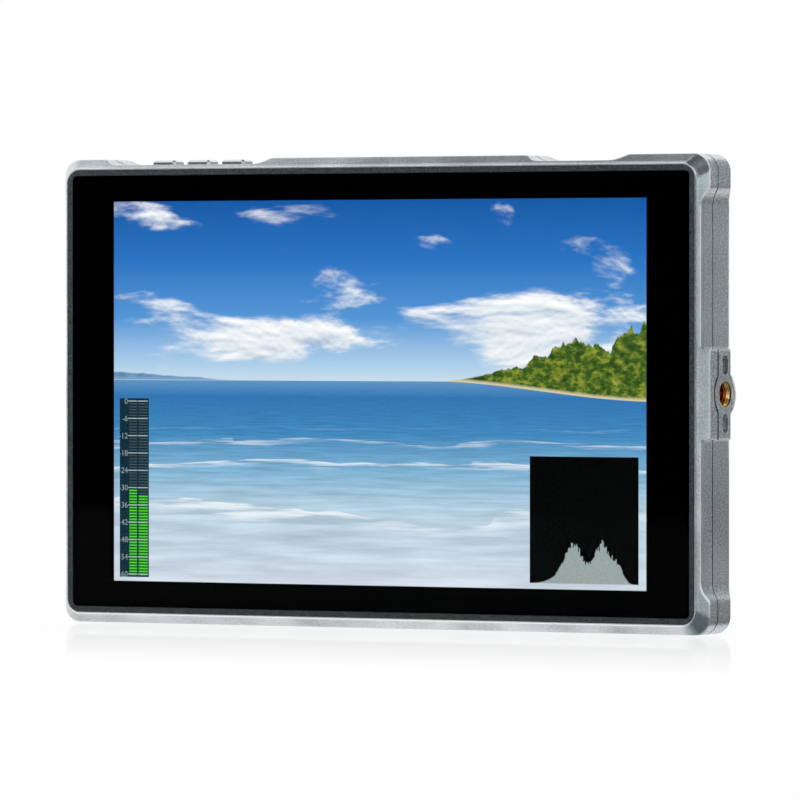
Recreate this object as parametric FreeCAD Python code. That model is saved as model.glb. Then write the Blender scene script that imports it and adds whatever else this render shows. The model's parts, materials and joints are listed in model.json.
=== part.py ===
import FreeCAD, Part
import math
import os

# A seven inch camera field monitor, in millimetres. X runs to the right, Y from front to back, Z up.
# Depths (Y) are counted from the front plane, and heights (Z) from the underside.
# On export the part moves so that its origin is the mouth of the tripod thread in the underside.

# Picture area and cover glass
active_width = 150.8
active_height = 94.25
border_side = 11.7
border_end = 6.4
glass_thickness = 1.1
glass_set_back = 0.05
glass_radius = 1.2
glass_gap = 0.1
mask_thickness = 0.1
mask_inset = 0.05
mask_margin = 0.2
tape_thickness = 0.2
tape_inset = 0.4
tape_step = 0.3

# Dark rim round the glass
rim_width = 1.4
rim_floor = 0.95
rim_radius = 3.4
rim_gap = 0.05

# Shells
lip_width = 0.2
edge_out = 0.3
edge_back = 0.15
chamfer_out = 2.35
chamfer_back = 3.0
corner_radius = 4.3
wall = 2.0
back_wall = 2.5
ledge_thickness = 1.2
cavity_radius = 2.5
seam_depth = 7.3
seam_width = 0.4
seam_inset = 0.6
part_gap = 0.2

# Finger recesses along the edges
recess_drop = 1.45
recess_run = 5.2
recess_share = 0.3
recess_cross = 0.02
side_recess_inset = 7.7
key_recess_inset = 11.9
key_recess_length = 48.6
plain_recess_inset = 21.8
plain_recess_length = 28.75
boss_height = 21.7

# Tripod threads, 1/4 inch with 20 turns to the inch, and their anti-twist slots
thread_depth = 10.8
thread_radius = 2.6
thread_mouth_radius = 3.2
thread_mouth_depth = 0.6
insert_radius = 3.9
insert_length = 8.0
insert_lip = 0.3
insert_wall = 0.6
insert_end = 0.8
insert_block_width = 11.0
pad_radius = 5.4
slot_spacing = 14.0
slot_length = 4.6
slot_width = 3.0
slot_depth = 1.6

# Display module behind the glass
lcd_margin = 3.1
lcd_thickness = 1.2
lcd_gap = 0.1
frame_wall_side = 1.4
frame_wall_end = 0.5
frame_shelf = 1.0
tray_wall = 0.5
tray_floor = 0.5
tray_step = 0.35
window_gap = 0.4
sheet_gap = 0.1
diffuser_thickness = 0.6
guide_thickness = 1.3
guide_bar_room = 3.2
reflector_thickness = 0.25
led_bar_height = 2.4
led_bar_depth = 1.1
led_count = 24
led_size = 2.6
led_rise = 0.4

# Middle plate and main board
plate_thickness = 1.0
plate_gap_side = 0.75
plate_gap_end = 2.2
spacer_height = 0.8
spacer_radius = 2.5
board_thickness = 1.2
board_gap = 0.85
board_clear_right = 11.0
board_clear_bottom = 9.5
board_clear_top = 14.0
board_hole_left = 20.0
board_hole_right = 7.0
board_hole_end = 7.0
component_gap = 0.2
screw_clearance = 0.05
board_screw_radius = 0.95
board_screw_head_radius = 1.9
board_screw_head_height = 1.0
board_screw_reach = 0.8

# Chips, as across, up, tall, from the middle of the main board
main_chip = (17.0, 17.0, 1.6)
main_chip_place = (18.0, 4.0)
logic_chip = (14.0, 14.0, 1.4)
logic_chip_place = (-22.0, 6.0)
memory_chip = (9.0, 13.0, 1.0)
memory_chip_places = ((36.0, 12.0), (36.0, -5.0))
power_coil = (6.2, 6.2, 2.6)
power_coil_places = ((-50.0, 26.0), (-50.0, 17.0), (-40.0, 26.0))
pad_thickness = 0.5
pad_inset = 1.0

# Sockets in the left edge, spread evenly between the corner columns
socket_length = 13.0
socket_set_back = 0.3
socket_gap = 0.15
socket_end_gap = 1.5
hdmi_width = 15.0
hdmi_depth = 5.6
hdmi_corner = 1.9
hdmi_sheet = 0.5
hdmi_reach = 9.0
hdmi_tongue_width = 11.6
hdmi_tongue_depth = 1.1
usb_width = 9.2
usb_depth = 3.4
usb_sheet = 0.4
usb_reach = 6.2
usb_tongue_width = 6.7
usb_tongue_depth = 0.7
phones_width = 6.2
phones_depth = 5.0
phones_nose_radius = 2.4
phones_bore_radius = 1.8
phones_bore_length = 11.0
jack_width = 8.0
jack_depth = 6.8
jack_nose_radius = 3.05
jack_bore_radius = 2.8
jack_bore_length = 10.0
jack_pin_radius = 1.0
jack_pin_inset = 0.5

# Push keys in the top edge
key_count = 3
key_width = 6.65
key_length = 4.9
key_corner = 0.6
key_pitch = 10.0
key_shift = 0.65
key_depth = 8.6
key_gap = 0.2
key_bevel = 0.45
key_rise = 1.2
key_rest_gap = 0.1
key_travel = 0.5
key_flange = 0.7
key_flange_thickness = 0.8
stem_width = 2.2
stem_gap = 0.1
stem_show = 0.9
stem_engage = 0.9
switch_width = 4.6
switch_skin = 0.8
switch_back = 2.5
switch_floor = 0.7
switch_body = 2.6
tongue_margin = 2.0
key_board_thickness = 1.0
key_board_height = 9.5
key_board_margin = 4.5
key_board_screw_inset = 2.6
key_screw_radius = 0.8
key_screw_head_radius = 1.6
key_screw_head_height = 0.8
key_screw_reach = 1.2
key_post_radius = 2.2
key_post_skin = 0.3

# Flat ribbon cables and their sockets
ribbon_thickness = 0.2
panel_ribbon_width = 20.0
panel_ribbon_place = -20.0
panel_ribbon_room = 0.8
panel_ribbon_drop = 1.6
key_ribbon_width = 8.0
key_ribbon_lap = 3.0
ribbon_socket_height = 3.4
ribbon_socket_depth = 1.4
ribbon_socket_rise = 3.0
ribbon_socket_margin = 1.0

# Case screws through the four corners
case_screw_inset_side = 6.6
case_screw_inset_end = 10.6
case_screw_radius = 1.25
case_head_radius = 2.3
case_head_height = 1.2
case_head_sink = 0.2
case_screw_bite = 1.0
front_post_radius = 2.3
rear_column_radius = 2.8
stud_sides = 12

# Cooling grooves in the back
groove_width = 1.6
groove_depth = 1.2
groove_pitch = 4.8
groove_count = 15
groove_clear_plate = 6.5
groove_clear_side = 15.0

# Slide-on battery plate on the back, with its stop at the lower end
mount_width = 43.4
mount_height = 86.0
mount_base = 4.0
mount_radius = 2.0
rail_width = 2.2
rail_rise = 3.4
tab_reach = 1.4
tab_thickness = 1.2
tab_length = 9.0
tab_heights = (-22.0, 12.0)
stop_thickness = 2.6
mount_screw_across = 33.0
mount_screw_up = 66.0
mount_screw_radius = 1.2
mount_screw_head_radius = 2.2
mount_screw_head_height = 1.2
mount_screw_reach = 2.2
mount_boss_radius = 2.8
mount_boss_length = 3.0
blade_count = 3
blade_pitch = 7.0
blade_thickness = 0.8
blade_depth = 2.2
blade_reach = 5.6
blade_root = 1.4
blade_gap = 0.05
blade_slot_margin = 1.4

# Press-in catch that holds the battery
latch_width = 14.0
latch_height = 9.0
latch_end = 3.2
latch_rise = 2.0
latch_slope = 1.4
latch_gap = 0.2
latch_flange = 1.5
latch_flange_thickness = 0.8
latch_travel = 1.8
latch_rest_gap = 0.1
latch_floor_gap = 0.3
spring_thickness = 0.25
spring_width = 4.0

# Overall sizes that follow from the ones above
glass_width = active_width + 2 * border_side
glass_height = active_height + 2 * border_end
rim_outer_width = glass_width + 2 * (glass_gap + rim_width)
rim_outer_height = glass_height + 2 * (glass_gap + rim_width)
front_width = rim_outer_width + 2 * (rim_gap + lip_width)
front_height = rim_outer_height + 2 * (rim_gap + lip_width)
front_radius = rim_radius + rim_gap + lip_width
body_width = front_width + 2 * chamfer_out
body_height = front_height + 2 * chamfer_out
right_face = body_width / 2
mid_height = body_height / 2
cavity_width = body_width - 2 * (recess_drop + wall)
cavity_height = body_height - 2 * (recess_drop + wall)
cavity_top = mid_height + cavity_height / 2
cavity_bottom = mid_height - cavity_height / 2

# Depths of the layers, from the glass to the back face
glass_back = glass_set_back + glass_thickness
mask_back = glass_back + mask_thickness
tape_back = mask_back + tape_thickness
rim_back = tape_back + rim_floor
ledge_back = rim_back + ledge_thickness
lcd_back = mask_back + lcd_thickness
tray_front = mask_back + tray_step
diffuser_front = lcd_back + sheet_gap
guide_front = diffuser_front + diffuser_thickness
reflector_front = guide_front + guide_thickness
tray_inside = reflector_front + reflector_thickness
tray_back = tray_inside + tray_floor
plate_back = tray_back + plate_thickness
board_front = plate_back + spacer_height
board_back = board_front + board_thickness
component_room = max(hdmi_depth, phones_depth, jack_depth - board_thickness) + component_gap
cavity_back = board_back + component_room
body_depth = cavity_back + back_wall
mount_face = body_depth + mount_base
rail_back = mount_face + rail_rise

# Display module outlines
lcd_width = active_width + 2 * lcd_margin
lcd_height = active_height + 2 * lcd_margin
frame_width = lcd_width + 2 * (lcd_gap + frame_wall_side)
frame_height = lcd_height + 2 * (lcd_gap + frame_wall_end)
shelf_width = lcd_width - 2 * frame_shelf
shelf_height = lcd_height - 2 * frame_shelf
tray_width = frame_width + 2 * tray_wall
tray_height = frame_height + 2 * tray_wall
window_width = tray_width + 2 * window_gap
window_height = tray_height + 2 * window_gap

# Main board edges
board_left = -cavity_width / 2 + board_gap
board_right = right_face - insert_lip - insert_length - insert_end - board_clear_right
board_bottom = cavity_bottom + board_clear_bottom
board_top = cavity_top - board_clear_top
board_middle = (board_left + board_right) / 2
board_centre_height = (board_bottom + board_top) / 2

# Key heights, from the ceiling of the cavity down
key_recess_start = -right_face + key_recess_inset
key_middle = key_recess_start + key_recess_length / 2 + key_shift
flange_top = cavity_top - key_rest_gap
flange_bottom = flange_top - key_flange_thickness
switch_top = flange_bottom - key_travel - stem_show
stem_bottom = switch_top - stem_engage
switch_hole_bottom = stem_bottom - key_travel - stem_gap
switch_bottom = switch_hole_bottom - switch_floor - switch_body
key_board_front = key_depth + switch_back
switch_front = key_depth - stem_width / 2 - stem_gap - switch_skin
key_board_back = key_board_front + key_board_thickness
key_board_top = switch_top - switch_floor
key_board_bottom = key_board_top - key_board_height
key_board_half = (key_count - 1) * key_pitch / 2 + switch_width / 2 + key_board_margin

# Battery plate edges
mount_bottom = mid_height - mount_height / 2
mount_top = mid_height + mount_height / 2
latch_top = mount_top - latch_end
latch_middle = latch_top - latch_height / 2
latch_ceiling = body_depth + latch_floor_gap + latch_travel + latch_flange_thickness + latch_rest_gap

# Heights of the sockets, from the upper corner column down
case_screw_rise = mid_height - case_screw_inset_end
socket_room = 2 * (case_screw_rise - rear_column_radius - socket_end_gap)
socket_sizes = (jack_width, hdmi_width, hdmi_width, usb_width, phones_width)
socket_spacing = (socket_room - sum(socket_sizes)) / (len(socket_sizes) - 1)


def socket_height(index):
    above = sum(socket_sizes[:index]) + index * socket_spacing
    return mid_height + socket_room / 2 - above - socket_sizes[index] / 2


jack_height = socket_height(0)
hdmi_in_height = socket_height(1)
hdmi_out_height = socket_height(2)
usb_height = socket_height(3)
phones_height = socket_height(4)

Vector = FreeCAD.Vector
right = Vector(1, 0, 0)
back = Vector(0, 1, 0)
up = Vector(0, 0, 1)


def outline(width, height, radius, depth):
    """Rounded rectangle round the middle of the body, in the plane at one depth."""
    x = width / 2
    z = height / 2
    bow = radius * (1 - math.sqrt(0.5))

    def place(across, rise):
        return Vector(across, depth, mid_height + rise)

    edges = []
    for sx, sz in ((1, 1), (-1, 1), (-1, -1), (1, -1)):
        flat = place(sx * (x - radius), sz * z)
        bend = place(sx * (x - bow), sz * (z - bow))
        tall = place(sx * x, sz * (z - radius))
        ends = (tall, flat) if sx * sz > 0 else (flat, tall)
        edges.append(Part.Arc(ends[0], bend, ends[1]).toShape())
    lines = []
    for first, second in zip(edges, edges[1:] + edges[:1]):
        lines.append(Part.LineSegment(first.lastVertex().Point, second.firstVertex().Point).toShape())
    return Part.Wire([edge for pair in zip(edges, lines) for edge in pair])


def slab(width, height, radius, front, rear):
    """Rounded plate round the middle of the body, from one depth to another."""
    return Part.Face(outline(width, height, radius, front)).extrude(back * (rear - front))


def block(x0, x1, y0, y1, z0, z1):
    return Part.makeBox(x1 - x0, y1 - y0, z1 - z0, Vector(x0, y0, z0))


def sheet(width, height, front, rear):
    """Square-cornered plate round the middle of the body, from one depth to another."""
    return block(-width / 2, width / 2, front, rear, mid_height - height / 2, mid_height + height / 2)


def rod(radius, start, direction, length):
    return Part.makeCylinder(radius, length, start, direction)


def stud(radius, x, z, front, rear):
    """Many-sided pin along the depth, for screws, posts and the holes that they pass through."""
    corners = []
    for index in range(stud_sides + 1):
        turn = 2 * math.pi * index / stud_sides
        corners.append(Vector(x + radius * math.cos(turn), front, z + radius * math.sin(turn)))
    return Part.Face(Part.makePolygon(corners)).extrude(back * (rear - front))


def obround(centre, along, direction, length, width, depth):
    """Prism with two round ends, from the centre of its first face."""
    across = direction.cross(along)
    reach = along * ((length - width) / 2)
    side = across * (width / 2)
    tip = along * (length / 2)
    edges = [
        Part.LineSegment(centre - reach + side, centre + reach + side).toShape(),
        Part.Arc(centre + reach + side, centre + tip, centre + reach - side).toShape(),
        Part.LineSegment(centre + reach - side, centre - reach - side).toShape(),
        Part.Arc(centre - reach - side, centre - tip, centre - reach + side).toShape(),
    ]
    return Part.Face(Part.Wire(edges)).extrude(direction * depth)


def ribbon(points, width, middle):
    """Flat cable: a bent strip along (depth, height) points, which lies on the left of its path."""
    path = [Vector(middle - width / 2, depth, height) for depth, height in points]
    steps = [(b - a).normalize() for a, b in zip(path, path[1:])]
    sides = [step.cross(right) for step in steps]
    outer = []
    for index, point in enumerate(path):
        before = sides[max(index - 1, 0)]
        after = sides[min(index, len(sides) - 1)]
        lean = before + after
        outer.append(point + lean * (2 * ribbon_thickness / lean.Length ** 2))
    loop = path + outer[::-1] + path[:1]
    return Part.Face(Part.makePolygon(loop)).extrude(right * width)


def joined(shapes):
    return shapes[0].multiFuse(shapes[1:]).removeSplitter()


def save(name, shapes):
    solids = [solid for shape in shapes for solid in shape.Solids]
    group = solids[0] if len(solids) == 1 else Part.makeCompound(solids)
    group = group.copy()
    group.translate(Vector(0, -thread_depth, 0))
    group.exportStep("parts/" + name + ".step")


def recess_cutter(length, place):
    """Scoop whose ends bend in tightly and run out gently; place turns (along, rise, depth) to a point."""
    reach = (recess_run ** 2 + recess_drop ** 2) / (2 * recess_drop)
    bend = recess_share * reach
    hollow = reach - bend
    half_turn = math.asin(recess_run / reach) / 2
    start = math.sqrt(2 * bend * recess_cross)

    def point(along, rise):
        return place(along, rise + recess_cross, -1)

    def s_curve(side):
        def at(along, rise):
            return point(along if side > 0 else length - along, rise)
        top = at(-start, 0)
        upper = at(bend * math.sin(half_turn) - start, bend * (math.cos(half_turn) - 1))
        middle = at(recess_share * recess_run - start, -recess_share * recess_drop)
        lower = at(recess_run - hollow * math.sin(half_turn) - start,
                   hollow * (1 - math.cos(half_turn)) - recess_drop)
        floor = at(recess_run - start, -recess_drop - recess_cross)
        return Part.Arc(top, upper, middle).toShape(), Part.Arc(middle, lower, floor).toShape()

    left = s_curve(1)
    far = s_curve(-1)
    floor = Part.LineSegment(left[1].lastVertex().Point, far[1].lastVertex().Point).toShape()
    lift = 5 * recess_drop
    corners = [
        far[0].firstVertex().Point,
        point(length + start, lift),
        point(-start, lift),
        left[0].firstVertex().Point,
    ]
    cap = [Part.LineSegment(a, b).toShape() for a, b in zip(corners, corners[1:])]
    wire = Part.Wire(Part.__sortEdges__([left[0], left[1], floor, far[1], far[0]] + cap))
    return Part.Face(wire).extrude(back * (body_depth + 2))


def on_top(start):
    return lambda along, rise, depth: Vector(start + along, depth, body_height + rise)


def on_side(sign):
    return lambda along, rise, depth: Vector(sign * (right_face + rise), depth, side_recess_inset + along)


def outer_body():
    """The whole casing as one solid: a chamfered slab with scooped edges and the right-hand boss."""
    sections = [
        (front_width, front_height, front_radius, 0),
        (front_width + 2 * edge_out, front_height + 2 * edge_out, front_radius + edge_out, edge_back),
        (body_width, body_height, corner_radius, chamfer_back),
    ]
    rear = [(w, h, r, body_depth - depth) for w, h, r, depth in reversed(sections)]
    body = Part.makeLoft([outline(*section) for section in sections + rear], True, True)
    side_length = body_height - 2 * side_recess_inset
    boss = block(0, right_face + recess_drop, 0, body_depth,
                 mid_height - boss_height / 2, mid_height + boss_height / 2)
    plain_start = right_face - plain_recess_inset - plain_recess_length
    cutters = [
        recess_cutter(key_recess_length, on_top(key_recess_start)),
        recess_cutter(plain_recess_length, on_top(plain_start)),
        recess_cutter(side_length, on_side(-1)),
        recess_cutter(side_length, on_side(1)).cut(boss),
    ]
    for cutter in cutters:
        body = body.cut(cutter)
    pad_root = chamfer_out + wall
    pad = rod(pad_radius, Vector(right_face - pad_root, thread_depth, mid_height), right, pad_root)
    return body.fuse(pad).removeSplitter()


# The two tripod threads: mouth, direction out of the mouth, and the way the anti-twist slots run
threads = {
    "right": (Vector(right_face, thread_depth, mid_height), right, up),
    "bottom": (Vector(0, thread_depth, 0), -up, right),
}


def insert_block(mouth, out, along, grow):
    """Block inside the casing that holds one thread insert, with its end and side walls."""
    depth = insert_lip + insert_length + insert_end
    front = mouth.y - insert_radius - insert_wall - grow
    half = insert_block_width / 2 + grow
    start = mouth - out * (recess_drop + wall + part_gap)
    end = mouth - out * (depth + grow)
    low = Vector(min(start.x, end.x), front, min(start.z, end.z)) - along * half
    high = Vector(max(start.x, end.x), cavity_back, max(start.z, end.z)) + along * half
    return block(low.x, high.x, low.y, high.y, low.z, high.z)


def insert_pad(mouth, out, grow):
    """Round of the rear casing that reaches into the front casing about a thread."""
    depth = recess_drop + wall
    return rod(pad_radius + grow, mouth - out * depth, out, depth + recess_drop)


def insert_hole(mouth, out):
    seat = rod(insert_radius, mouth - out * (insert_lip + insert_length), out, insert_length)
    opening = rod(thread_mouth_radius + screw_clearance, mouth - out * insert_length, out, insert_length + 1)
    return seat.fuse(opening)


def anti_twist_slots(mouth, out, along):
    return [
        obround(mouth + along * (side * slot_spacing / 2) + out * slot_depth, along, -out,
                slot_length, slot_width, 2 * slot_depth)
        for side in (-1, 1)
    ]


def thread_insert(mouth, out):
    """Brass sleeve with a countersunk mouth."""
    face = mouth - out * insert_lip
    sleeve = rod(insert_radius, face, -out, insert_length)
    bore = rod(thread_radius, face, -out, insert_length)
    cone = Part.makeCone(thread_mouth_radius, thread_radius, thread_mouth_depth, face, -out)
    return sleeve.cut(bore).cut(cone)


def key_places():
    first = key_middle - (key_count - 1) * key_pitch / 2
    return [first + index * key_pitch for index in range(key_count)]


def key_prism(x, grow, low, high):
    """Oblong with cut corners, for a key and the hole round it."""
    half_width = key_width / 2 + grow
    half_length = key_length / 2 + grow
    prism = block(x - half_width, x + half_width, key_depth - half_length, key_depth + half_length, low, high)
    corners = [edge for edge in prism.Edges if edge.BoundBox.ZLength > key_corner]
    return prism.makeChamfer(key_corner, corners)


def key_tongue(grow):
    """Strip of the rear casing's top wall that reaches forward round the keys."""
    half = (key_count - 1) * key_pitch / 2 + key_width / 2 + key_gap + tongue_margin + grow
    front = key_depth - key_length / 2 - key_gap - tongue_margin + part_gap - grow
    return block(key_middle - half, key_middle + half, front, seam_depth + seam_width,
                 cavity_top, body_height + 1)


def case_screw_places():
    x = right_face - case_screw_inset_side
    return [(sx * x, mid_height + sz * case_screw_rise) for sx in (-1, 1) for sz in (-1, 1)]


def mount_screw_places():
    return [
        (sx * mount_screw_across / 2, mid_height + sz * mount_screw_up / 2)
        for sx in (-1, 1) for sz in (-1, 1)
    ]


def board_screw_places():
    xs = (board_left + board_hole_left, board_right - board_hole_right)
    zs = (board_bottom + board_hole_end, board_top - board_hole_end)
    return [(x, z) for x in xs for z in zs]


def key_board_screw_places():
    reach = key_board_half - key_board_screw_inset
    height = key_board_bottom + key_board_screw_inset
    return [(key_middle + side * reach, height) for side in (-1, 1)]


def blade_places():
    return [(index - (blade_count - 1) / 2) * blade_pitch for index in range(blade_count)]


# Sockets: the face of each one lies a little inside the recessed left edge
socket_face = -right_face + recess_drop + socket_set_back
hdmi_axis_depth = board_back + hdmi_depth / 2
usb_axis_depth = board_back + usb_depth / 2
phones_axis_depth = board_back + phones_depth / 2
jack_axis_depth = board_front + jack_depth / 2


def hdmi_prism(height, grow, start, length):
    """Six-sided plug outline, narrower towards the back of the casing, pushed along X."""
    half = hdmi_width / 2 + grow
    front = hdmi_axis_depth - hdmi_depth / 2 - grow
    rear = hdmi_axis_depth + hdmi_depth / 2 + grow
    points = [
        Vector(start, front, height - half),
        Vector(start, front, height + half),
        Vector(start, rear - hdmi_corner, height + half),
        Vector(start, rear, height + half - hdmi_corner),
        Vector(start, rear, height - half + hdmi_corner),
        Vector(start, rear - hdmi_corner, height - half),
    ]
    return Part.Face(Part.makePolygon(points + points[:1])).extrude(right * length)


def hdmi_socket(height):
    shell = hdmi_prism(height, 0, socket_face, socket_length)
    mouth = hdmi_prism(height, -hdmi_sheet, socket_face, hdmi_reach)
    tongue = block(socket_face + hdmi_sheet, socket_face + hdmi_reach,
                   hdmi_axis_depth - hdmi_tongue_depth / 2, hdmi_axis_depth + hdmi_tongue_depth / 2,
                   height - hdmi_tongue_width / 2, height + hdmi_tongue_width / 2)
    return shell.cut(mouth).fuse(tongue)


def usb_prism(grow, start, length):
    centre = Vector(start, usb_axis_depth, usb_height)
    return obround(centre, up, right, usb_width + 2 * grow, usb_depth + 2 * grow, length)


def usb_socket():
    shell = usb_prism(0, socket_face, socket_length)
    mouth = usb_prism(-usb_sheet, socket_face, usb_reach)
    tongue = block(socket_face + usb_sheet, socket_face + usb_reach,
                   usb_axis_depth - usb_tongue_depth / 2, usb_axis_depth + usb_tongue_depth / 2,
                   usb_height - usb_tongue_width / 2, usb_height + usb_tongue_width / 2)
    return shell.cut(mouth).fuse(tongue)


def nose(radius, depth, height, start, length):
    return rod(radius, Vector(start, depth, height), right, length)


def round_socket_body(width, depth, axis_depth, height):
    inside = -cavity_width / 2 + part_gap
    return block(inside, socket_face + socket_length, axis_depth - depth / 2, axis_depth + depth / 2,
                 height - width / 2, height + width / 2)


def headphone_jack():
    body = round_socket_body(phones_width, phones_depth, phones_axis_depth, phones_height)
    tube = nose(phones_nose_radius, phones_axis_depth, phones_height, socket_face, socket_length / 2)
    bore = nose(phones_bore_radius, phones_axis_depth, phones_height, socket_face, phones_bore_length)
    return body.fuse(tube).removeSplitter().cut(bore)


def dc_jack():
    body = round_socket_body(jack_width, jack_depth, jack_axis_depth, jack_height)
    tube = nose(jack_nose_radius, jack_axis_depth, jack_height, socket_face, socket_length / 2)
    bore = nose(jack_bore_radius, jack_axis_depth, jack_height, socket_face, jack_bore_length)
    pin_start = socket_face + jack_pin_inset
    centre = nose(jack_pin_radius, jack_axis_depth, jack_height, pin_start, jack_bore_length)
    return body.fuse(tube).removeSplitter().cut(bore).fuse(centre)


def socket_openings():
    """Openings in the left edge for every socket."""
    start = -right_face - 1
    length = 1 + recess_drop + wall + 1
    return [
        hdmi_prism(hdmi_in_height, socket_gap, start, length),
        hdmi_prism(hdmi_out_height, socket_gap, start, length),
        usb_prism(socket_gap, start, length),
        nose(phones_nose_radius + socket_gap, phones_axis_depth, phones_height, start, length),
        nose(jack_nose_radius + socket_gap, jack_axis_depth, jack_height, start, length),
    ]


def seam_groove(body):
    """Shadow groove along the rear edge of the front casing."""
    wire = max(body.slice(back, seam_depth), key=lambda loop: loop.BoundBox.DiagonalLength)
    face = Part.Face(wire)
    inner = face.makeOffset2D(-seam_inset)
    return face.extrude(-back * seam_width).cut(inner.extrude(-back * seam_width))


def casing_shell(body):
    """The hollow casing before it is parted: rim pocket, window and cavity taken out."""
    pocket = slab(rim_outer_width + 2 * rim_gap, rim_outer_height + 2 * rim_gap, rim_radius + rim_gap,
                  -1, rim_back)
    window = sheet(window_width, window_height, 0, ledge_back + 1)
    cavity = slab(cavity_width, cavity_height, cavity_radius, ledge_back, cavity_back)
    return body.cut(pocket.fuse([window, cavity]))


def rear_region(grow):
    half = block(-body_width, body_width, seam_depth, 2 * body_depth, -1, body_height + 1)
    pads = [insert_pad(mouth, out, grow) for mouth, out, along in threads.values()]
    return half.multiFuse([key_tongue(grow)] + pads)


def front_shell(shell, groove):
    posts = [stud(front_post_radius, x, z, ledge_back, tray_back) for x, z in case_screw_places()]
    pilots = [
        stud(case_screw_radius + screw_clearance, x, z, ledge_back, tray_back) for x, z in case_screw_places()
    ]
    front = shell.cut(rear_region(part_gap)).multiFuse(posts)
    return front.cut([groove] + pilots + socket_openings()).removeSplitter()


def cooling_grooves():
    near = mount_width / 2 + groove_clear_plate
    far = right_face - groove_clear_side
    lowest = mid_height - ((groove_count - 1) * groove_pitch + groove_width) / 2
    grooves = []
    for row in range(groove_count):
        low = lowest + row * groove_pitch
        for start, end in ((-far, -near), (near, far)):
            grooves.append(block(start, end, body_depth - groove_depth, body_depth + 1,
                                 low, low + groove_width))
    return grooves


def main_chip_centre():
    return board_middle + main_chip_place[0], board_centre_height + main_chip_place[1]


def rear_shell(shell):
    added = [insert_block(mouth, out, along, 0) for mouth, out, along in threads.values()]
    for mouth, out, along in threads.values():
        root = insert_block(mouth, out, along, 0)
        root.translate(out * (2 * part_gap))
        added.append(root.common(rear_region(0)))
    added += [stud(rear_column_radius, x, z, plate_back, cavity_back) for x, z in case_screw_places()]
    added += [
        stud(mount_boss_radius, x, z, cavity_back - mount_boss_length, cavity_back)
        for x, z in mount_screw_places()
    ]
    added += [stud(key_post_radius, x, z, key_board_back, cavity_back) for x, z in key_board_screw_places()]
    chip_x, chip_z = main_chip_centre()
    half_x = main_chip[0] / 2
    half_z = main_chip[1] / 2
    pedestal_front = board_back + main_chip[2] + pad_thickness
    added.append(block(chip_x - half_x, chip_x + half_x, pedestal_front, cavity_back,
                       chip_z - half_z, chip_z + half_z))
    rear = shell.common(rear_region(0)).multiFuse(added).removeSplitter()

    cuts = cooling_grooves() + socket_openings()
    for mouth, out, along in threads.values():
        cuts += anti_twist_slots(mouth, out, along)
        cuts.append(insert_hole(mouth, out))
    cuts += [key_prism(x, key_gap, cavity_top - 1, body_height + 1) for x in key_places()]
    for x, z in case_screw_places():
        cuts.append(stud(case_screw_radius + screw_clearance, x, z, plate_back, body_depth))
        sink = case_head_sink + case_head_height
        cuts.append(stud(case_head_radius + screw_clearance, x, z, body_depth - sink, body_depth + 1))
    for x, z in mount_screw_places():
        cuts.append(stud(mount_screw_radius + screw_clearance, x, z,
                         cavity_back - mount_screw_reach - screw_clearance, body_depth))
    for x, z in key_board_screw_places():
        cuts.append(stud(key_screw_radius + screw_clearance, x, z,
                         key_board_back, cavity_back - key_post_skin))
    cuts.append(blade_slot())
    return rear.cut(cuts)


def bezel_frame():
    """Dark rim round the glass, with a shelf that the glass is taped to."""
    rim = slab(rim_outer_width, rim_outer_height, rim_radius, 0, rim_back)
    pocket = slab(glass_width + 2 * glass_gap, glass_height + 2 * glass_gap, glass_radius + glass_gap,
                  -1, tape_back)
    window = sheet(window_width, window_height, 0, rim_back + 1)
    return rim.cut(pocket.fuse(window))


def cover_glass():
    return slab(glass_width, glass_height, glass_radius, glass_set_back, glass_back)


def mask_film():
    """Black print behind the glass, open over the picture."""
    film = slab(glass_width - 2 * mask_inset, glass_height - 2 * mask_inset, glass_radius - mask_inset,
                glass_back, mask_back)
    return film.cut(sheet(active_width + 2 * mask_margin, active_height + 2 * mask_margin, 0, tray_back))


def glass_tape():
    strip = sheet(glass_width - 2 * tape_inset, glass_height - 2 * tape_inset, mask_back, tape_back)
    return strip.cut(sheet(window_width + 2 * tape_step, window_height + 2 * tape_step, 0, tray_back))


def lcd_panel():
    return sheet(lcd_width, lcd_height, mask_back, lcd_back)


def panel_frame():
    """Moulded frame that carries the picture panel on a shelf above the light sheets."""
    frame = sheet(frame_width, frame_height, tray_front, tray_inside)
    seat = sheet(lcd_width + 2 * lcd_gap, lcd_height + 2 * lcd_gap, 0, lcd_back)
    opening = sheet(shelf_width, shelf_height, 0, tray_back)
    return frame.cut(seat.fuse(opening))


def light_sheet(front, rear, room_below):
    """One sheet of the backlight, inside the panel frame, with room below it for the light bar."""
    return block(-shelf_width / 2 + sheet_gap, shelf_width / 2 - sheet_gap, front, rear,
                 mid_height - shelf_height / 2 + sheet_gap + room_below,
                 mid_height + shelf_height / 2 - sheet_gap)


def led_bar():
    """Strip along the lower edge of the light guide, with a row of small lamps that face it."""
    low = mid_height - shelf_height / 2 + sheet_gap
    middle = (guide_front + reflector_front) / 2
    half = shelf_width / 2 - sheet_gap
    strip = block(-half, half, middle - led_bar_depth / 2, middle + led_bar_depth / 2,
                  low, low + led_bar_height)
    pitch = 2 * half / led_count
    lamps = []
    for index in range(led_count):
        x = (index + 0.5) * pitch - half
        lamps.append(block(x - led_size / 2, x + led_size / 2, middle - led_bar_depth / 2,
                           middle + led_bar_depth / 2, low + led_bar_height, low + led_bar_height + led_rise))
    return joined([strip] + lamps)


def backlight_tray():
    tray = sheet(tray_width, tray_height, tray_front, tray_back)
    return tray.cut(sheet(frame_width, frame_height, 0, tray_inside))


def panel_ribbon_height():
    return board_bottom - panel_ribbon_drop


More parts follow.
